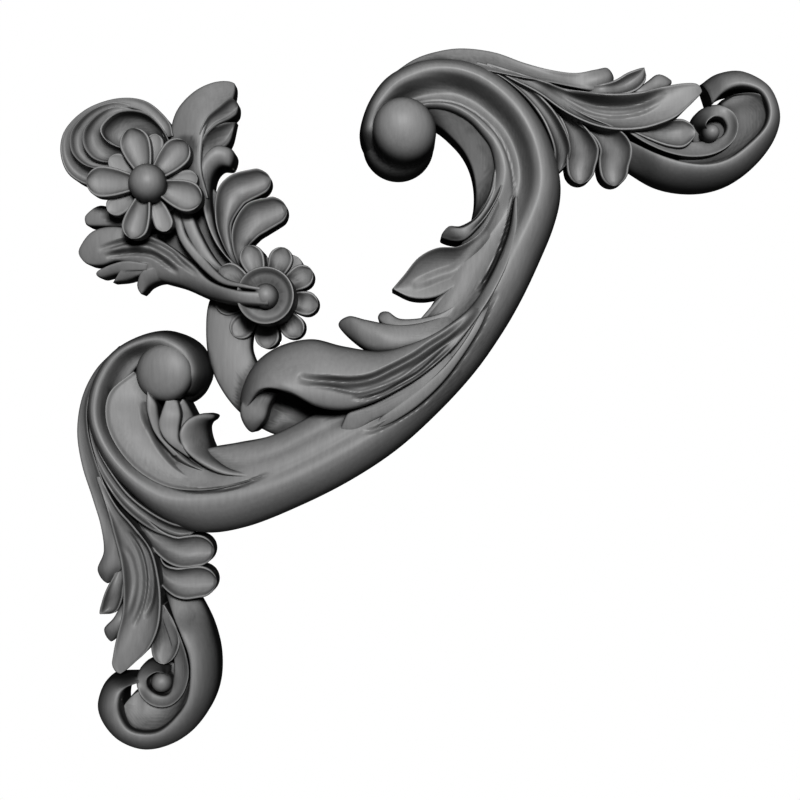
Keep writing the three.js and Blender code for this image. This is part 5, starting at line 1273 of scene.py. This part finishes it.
def add_node(
    tree: bpy.types.NodeTree, kind: str, settings: dict | None = None, links: dict | None = None
) -> bpy.types.Node:
    """Adds a shader node.

    Args:
        tree: the nodes that it joins.
        kind: type of the node.
        settings: attributes, or input values by socket name.
        links: output sockets that feed its inputs, by socket name or number.

    Returns:
        The node.
    """
    node = tree.nodes.new(kind)
    for key, value in (settings or {}).items():
        if key in node.inputs:
            node.inputs[key].default_value = value
        else:
            setattr(node, key, value)
    for key, socket in (links or {}).items():
        tree.links.new(socket, node.inputs[key])
    return node


@dataclass(frozen=True)
class Noise:
    """Cloudy pattern.

    Attributes:
        scale: how many patches lie on a metre of the stretched place.
        detail: how many finer layers it has.
        roughness: strength of those layers.
    """

    scale: float
    detail: float
    roughness: float

    def value(self, tree: bpy.types.NodeTree, place: bpy.types.NodeSocket) -> bpy.types.NodeSocket:
        """Reads the pattern at a place."""
        settings = {"Scale": self.scale, "Detail": self.detail, "Roughness": self.roughness}
        return add_node(tree, "ShaderNodeTexNoise", settings, {"Vector": place}).outputs["Fac"]


@dataclass(frozen=True)
class Spread:
    """Values that a pattern's middle range is spread over.

    Attributes:
        low: value where the pattern is dark.
        high: value where it is light.
    """

    low: float
    high: float

    def value(self, tree: bpy.types.NodeTree, pattern: bpy.types.NodeSocket) -> bpy.types.NodeSocket:
        """Spreads the pattern's middle range, 0.3 to 0.7, over the values."""
        settings = {"From Min": 0.3, "From Max": 0.7, "To Min": self.low, "To Max": self.high}
        return add_node(tree, "ShaderNodeMapRange", settings, {"Value": pattern}).outputs["Result"]


@dataclass(frozen=True)
class GraphiteWood:
    """Carved hardwood under thin graphite-grey satin paint.

    The tight grain shows through as faint streaks, and shade is painted into the recesses and onto the
    steep walls as a near-black colour, so that the carving reads deep while its crests keep a soft
    sheen.

    Attributes:
        name: name of the material.
        crest: colour of the paint where no shade is painted.
        painted_shade_colour: colour of the painted shade in the recesses and on the steep walls.
        ior: index of refraction of the paint.
        stretch: how the grain's pattern is squeezed along each axis.
        slant: turn of the grain about the axis out of the wall, in radians.
        grain: pattern of the grain.
        cloud: pattern of the wear.
        streak: how much the grain lightens the colour.
        worn: how much the wear lightens the colour.
        gloss: roughness of the paint.
        bump: strength of the grain's relief.
        bump_height: its height in metres.
    """

    name: str = "limewood_graphite_satin"
    crest: str = "#6c6c6c"
    painted_shade_colour: str = "#101010"
    ior: float = 1.42
    stretch: tuple = (260.0, 260.0, 34.0)
    slant: float = 0.6
    grain: Noise = Noise(3.0, 5.0, 0.55)
    cloud: Noise = Noise(38.0, 3.0, 0.5)
    streak: Spread = Spread(0.93, 1.06)
    worn: Spread = Spread(0.95, 1.05)
    gloss: Spread = Spread(0.51, 0.62)
    bump: float = 0.12
    bump_height: float = 0.0002

    def material(self) -> bpy.types.Material:
        """Builds the finish."""
        made = bpy.data.materials.new(self.name)
        made.use_nodes = True
        tree = made.node_tree
        tree.nodes.clear()
        place = add_node(tree, "ShaderNodeTexCoord").outputs["Object"]
        turned = {"Scale": self.stretch, "Rotation": (0.0, self.slant, 0.0)}
        stretched = add_node(tree, "ShaderNodeMapping", turned, {"Vector": place}).outputs["Vector"]
        grain = self.grain.value(tree, stretched)
        cloud = self.cloud.value(tree, place)
        relief = {"Strength": self.bump, "Distance": self.bump_height}
        bump = add_node(tree, "ShaderNodeBump", relief, {"Height": grain})
        shader = add_node(
            tree,
            "ShaderNodeBsdfPrincipled",
            {"IOR": self.ior, "Metallic": 0.0},
            {
                "Base Color": self.colour(tree, grain, cloud),
                "Roughness": self.gloss.value(tree, cloud),
                "Normal": bump.outputs["Normal"],
            },
        )
        add_node(tree, "ShaderNodeOutputMaterial", links={"Surface": shader.outputs["BSDF"]})
        return made

    def colour(
        self, tree: bpy.types.NodeTree, grain: bpy.types.NodeSocket, cloud: bpy.types.NodeSocket
    ) -> bpy.types.NodeSocket:
        """Paint with painted shade in the recesses and on the steep walls, lightened by grain and wear.

        Args:
            tree: the finish's nodes.
            grain: the grain's pattern.
            cloud: the wear's pattern.

        Returns:
            The colour.
        """
        # The hollow attribute is painted shade: it darkens each point that lies sunk in a recess or on a
        # steep wall.
        hollow = add_node(tree, "ShaderNodeAttribute", {"attribute_name": "hollow"}).outputs["Fac"]
        shaded_paint = add_node(tree, "ShaderNodeMix", {"data_type": "RGBA"}, {"Factor": hollow})
        shaded_paint.inputs[6].default_value = linear(self.crest)
        shaded_paint.inputs[7].default_value = linear(self.painted_shade_colour)
        shares = {0: self.streak.value(tree, grain), 1: self.worn.value(tree, cloud)}
        both = add_node(tree, "ShaderNodeMath", {"operation": "MULTIPLY"}, shares).outputs["Value"]
        scaled = {0: shaded_paint.outputs[2], "Scale": both}
        return add_node(tree, "ShaderNodeVectorMath", {"operation": "SCALE"}, scaled).outputs["Vector"]


@dataclass(frozen=True)
class PaintedShade:
    """Dark wax that stays in hollows and on steep walls.

    Attributes:
        margin: empty millimetres left round the carving's height map.
        spread: breadth in millimetres over which the height round a point is evened.
        lowest: points under this height don't count for it.
        full_depth: depth under the surroundings at which the painted shade is full.
        sunk_shade_share: most painted shade that depth gives.
        steep_from: outward share of the normal under which a wall begins to get painted shade.
        steep_range: further drop of that share at which the painted shade is full.
        steep_power: over one keeps the painted shade to the steepest walls.
        back_turn: backward share of the normal over which a face is the back.
        back: even share of the dark colour over the whole back.
    """

    margin: int = 8
    spread: int = 11
    lowest: float = 1.0
    full_depth: float = 3.2
    sunk_shade_share: float = 0.7
    steep_from: float = 0.86
    steep_range: float = 0.7
    steep_power: float = 1.2
    back_turn: float = 0.9
    back: float = 0.2

    def around(self, place: np.ndarray) -> np.ndarray:
        """Evened height round each point.

        Args:
            place: points in millimetres.

        Returns:
            One height for each point, on a grid of one millimetre.
        """
        height = -place[:, 1]
        index = (place[:, [0, 2]] - place[:, [0, 2]].min(0) + self.margin).astype(int)
        total = np.zeros(index.max(0) + self.margin + 1)
        number = np.zeros_like(total)
        facing = height > self.lowest
        np.add.at(total, tuple(index[facing].T), height[facing])
        np.add.at(number, tuple(index[facing].T), 1)
        window = np.hanning(self.spread)
        window /= window.sum()
        for axis in (0, 1):
            total = np.apply_along_axis(np.convolve, axis, total, window, "same")
            number = np.apply_along_axis(np.convolve, axis, number, window, "same")
        return (total / np.maximum(number, 1e-6))[tuple(index.T)]

    def shares(self, mesh: bpy.types.Mesh) -> np.ndarray:
        """Share of painted shade at each point of the mesh, from how sunk it lies and how steep its wall
        is.
        """
        place = read(mesh.vertices, "co", 3) / MM
        # Painted shade: darker where a point lies below its surroundings and where its wall turns away
        # from the front.
        sunk = np.clip((self.around(place) + place[:, 1]) / self.full_depth, 0, 1)
        outward = np.clip(-read(mesh.vertex_normals, "vector", 3)[:, 1], 0, 1)
        steep = np.clip((self.steep_from - outward) / self.steep_range, 0, 1)
        return 1 - (1 - self.sunk_shade_share * sunk) * (1 - steep**self.steep_power)

    def mark(self, mesh: bpy.types.Mesh) -> None:
        """Writes the painted shade into the mesh's hollow attribute, with an even share on the back."""
        value = self.shares(mesh)[read(mesh.loops, "vertex_index", 1, int)[:, 0]]
        corners = read(mesh.polygons, "loop_total", 1, int)[:, 0]
        backward = read(mesh.polygons, "normal", 3)[:, 1] > self.back_turn
        value[np.repeat(backward, corners)] = self.back
        attribute = mesh.attributes.new("hollow", "FLOAT", "CORNER")
        attribute.data.foreach_set("value", value.astype(np.float32))


def read(items: bpy.types.bpy_prop_collection, name: str, width: int, kind: type = float) -> np.ndarray:
    """Reads one property of every item.

    Args:
        items: parts of a mesh.
        name: the property.
        width: how many numbers it holds.
        kind: whole numbers or not.

    Returns:
        One row for each item.
    """
    values = np.empty(len(items) * width, kind)
    items.foreach_get(name, values)
    return values.reshape(-1, width)


@dataclass(frozen=True)
class CornerApplique:
    """The carving: scroll, leaves, volutes and flower sprig, cut from one board.

    Attributes:
        name: name of the piece.
        finish: the paint on it.
        painted_shade: the shade painted into its hollows and onto its steep walls.
    """

    name: str = "corner_applique_carving"
    finish: GraphiteWood = GraphiteWood()
    painted_shade: PaintedShade = PaintedShade()

    def build(self) -> bpy.types.Object:
        """Carves every ornament and joins them into one body."""
        meshes = [SCROLL.body().mesh("scroll")]
        for ornament in ornaments():
            meshes.extend(ornament.meshes())
        whole = joined(self.name, meshes)
        thin_out(whole)
        return whole

    def dress(self, whole: bpy.types.Object) -> None:
        """Smooths the faces, writes the painted shade of its hollows and steep walls, and paints the
        carving.
        """
        # Painted shade: hollows and steep walls are darkened in the colour.
        self.painted_shade.mark(whole.data)
        whole.data.polygons.foreach_set("use_smooth", np.ones(len(whole.data.polygons), bool))
        whole.data.set_sharp_from_angle(angle=math.radians(SMOOTH_ANGLE))
        whole.data.materials.clear()
        whole.data.materials.append(self.finish.material())


@dataclass(frozen=True)
class Studio:
    """Pale floor, white surroundings, soft lights and the camera.

    Attributes:
        key_place: place of the soft light in front.
        key_size: its breadth.
        key_power: its power.
        back_strength: strength of the light from straight behind.
        fill: strength of the light from all around.
        floor_reach: half the breadth of the floor.
        floor_level: height of the floor.
    """

    key_place: tuple = (0.14, -1.25, 0.42)
    key_size: float = 0.25
    key_power: float = 34.0
    back_strength: float = 1.6
    fill: float = 0.02
    floor_reach: float = 1.6
    floor_level: float = -1.4

    def build(self) -> None:
        """Sets up everything around the object."""
        self.floor()
        self.world()
        self.key_light()
        self.back_light()
        self.camera()

    def floor(self) -> None:
        """Plain pale floor far below the object."""
        mesh = bpy.data.meshes.new("floor")
        corners = ((-1, -1), (1, -1), (1, 1), (-1, 1))
        points = [(x * self.floor_reach, y * self.floor_reach, self.floor_level) for x, y in corners]
        mesh.from_pydata(points, [], [(0, 1, 2, 3)])
        mesh.materials.append(self.floor_paint())
        floor = bpy.data.objects.new("floor", mesh)
        bpy.context.scene.collection.objects.link(floor)

    def floor_paint(self) -> bpy.types.Material:
        """Matt white that the camera sees evenly lit."""
        paint = bpy.data.materials.new("floor_matt_white")
        paint.use_nodes = True
        tree = paint.node_tree
        shader = tree.nodes["Principled BSDF"]
        shader.inputs["Base Color"].default_value = linear("#f2f2f2")
        shader.inputs["Roughness"].default_value = 0.9
        lit = add_node(tree, "ShaderNodeEmission", {"Color": linear("#f4f4f4"), "Strength": 1.0})
        seen = add_node(tree, "ShaderNodeLightPath").outputs["Is Camera Ray"]
        sides = {0: seen, 1: shader.outputs["BSDF"], 2: lit.outputs["Emission"]}
        mix = add_node(tree, "ShaderNodeMixShader", links=sides)
        tree.links.new(mix.outputs["Shader"], tree.nodes["Material Output"].inputs["Surface"])
        return paint

    def world(self) -> None:
        """White to look at, dim as a light."""
        world = bpy.data.worlds.new("studio")
        bpy.context.scene.world = world
        world.use_nodes = True
        tree = world.node_tree
        tree.nodes.clear()
        white = (1.0, 1.0, 1.0, 1.0)
        seen = add_node(tree, "ShaderNodeLightPath").outputs["Is Camera Ray"]
        bright = add_node(tree, "ShaderNodeBackground", {"Color": white, "Strength": 1.0})
        dim = add_node(tree, "ShaderNodeBackground", {"Color": white, "Strength": self.fill})
        sides = {0: seen, 1: dim.outputs[0], 2: bright.outputs[0]}
        mix = add_node(tree, "ShaderNodeMixShader", links=sides)
        add_node(tree, "ShaderNodeOutputWorld", links={"Surface": mix.outputs[0]})

    def key_light(self) -> None:
        """Soft square light in front of the object."""
        lamp = bpy.data.lights.new("key", "AREA")
        lamp.size = self.key_size
        lamp.energy = self.key_power
        self.hang(lamp, self.key_place)

    def back_light(self) -> None:
        """Parallel light from straight behind, which shows the back and leaves the side walls dark."""
        lamp = bpy.data.lights.new("back", "SUN")
        lamp.energy = self.back_strength
        self.hang(lamp, (0.0, 1.0, 0.0))

    def hang(self, lamp: bpy.types.Light, place: tuple) -> None:
        """Puts a light at a place, facing the object."""
        holder = bpy.data.objects.new(lamp.name, lamp)
        holder.location = place
        holder.rotation_euler = (-Vector(place)).to_track_quat("-Z", "Y").to_euler()
        bpy.context.scene.collection.objects.link(holder)

    def camera(self) -> None:
        """Looks straight at the wall from the photograph's distance."""
        lens = bpy.data.cameras.new("camera")
        lens.sensor_width = 36.0
        lens.angle = math.radians(CAMERA_VIEW_ANGLE)
        lens.clip_start = 0.01
        holder = bpy.data.objects.new("camera", lens)
        holder.location = (0.0, -CAMERA_DISTANCE, 0.0)
        holder.rotation_euler = (math.pi / 2, 0.0, 0.0)
        bpy.context.scene.collection.objects.link(holder)
        bpy.context.scene.camera = holder


def main() -> None:
    """Builds the applique and the studio around it."""
    logging.basicConfig(level=logging.INFO, format="%(message)s")
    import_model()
    applique = CornerApplique()
    carving = applique.build()
    applique.dress(carving)
    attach(carving, "root")
    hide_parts("corner_applique")
    log.info("carving: %d triangles", triangle_count(carving.data))
    Studio().build()
    scene = bpy.context.scene
    scene.view_settings.view_transform = "Standard"
    scene.view_settings.gamma = PICTURE_GAMMA


if __name__ == "__main__":
    main()
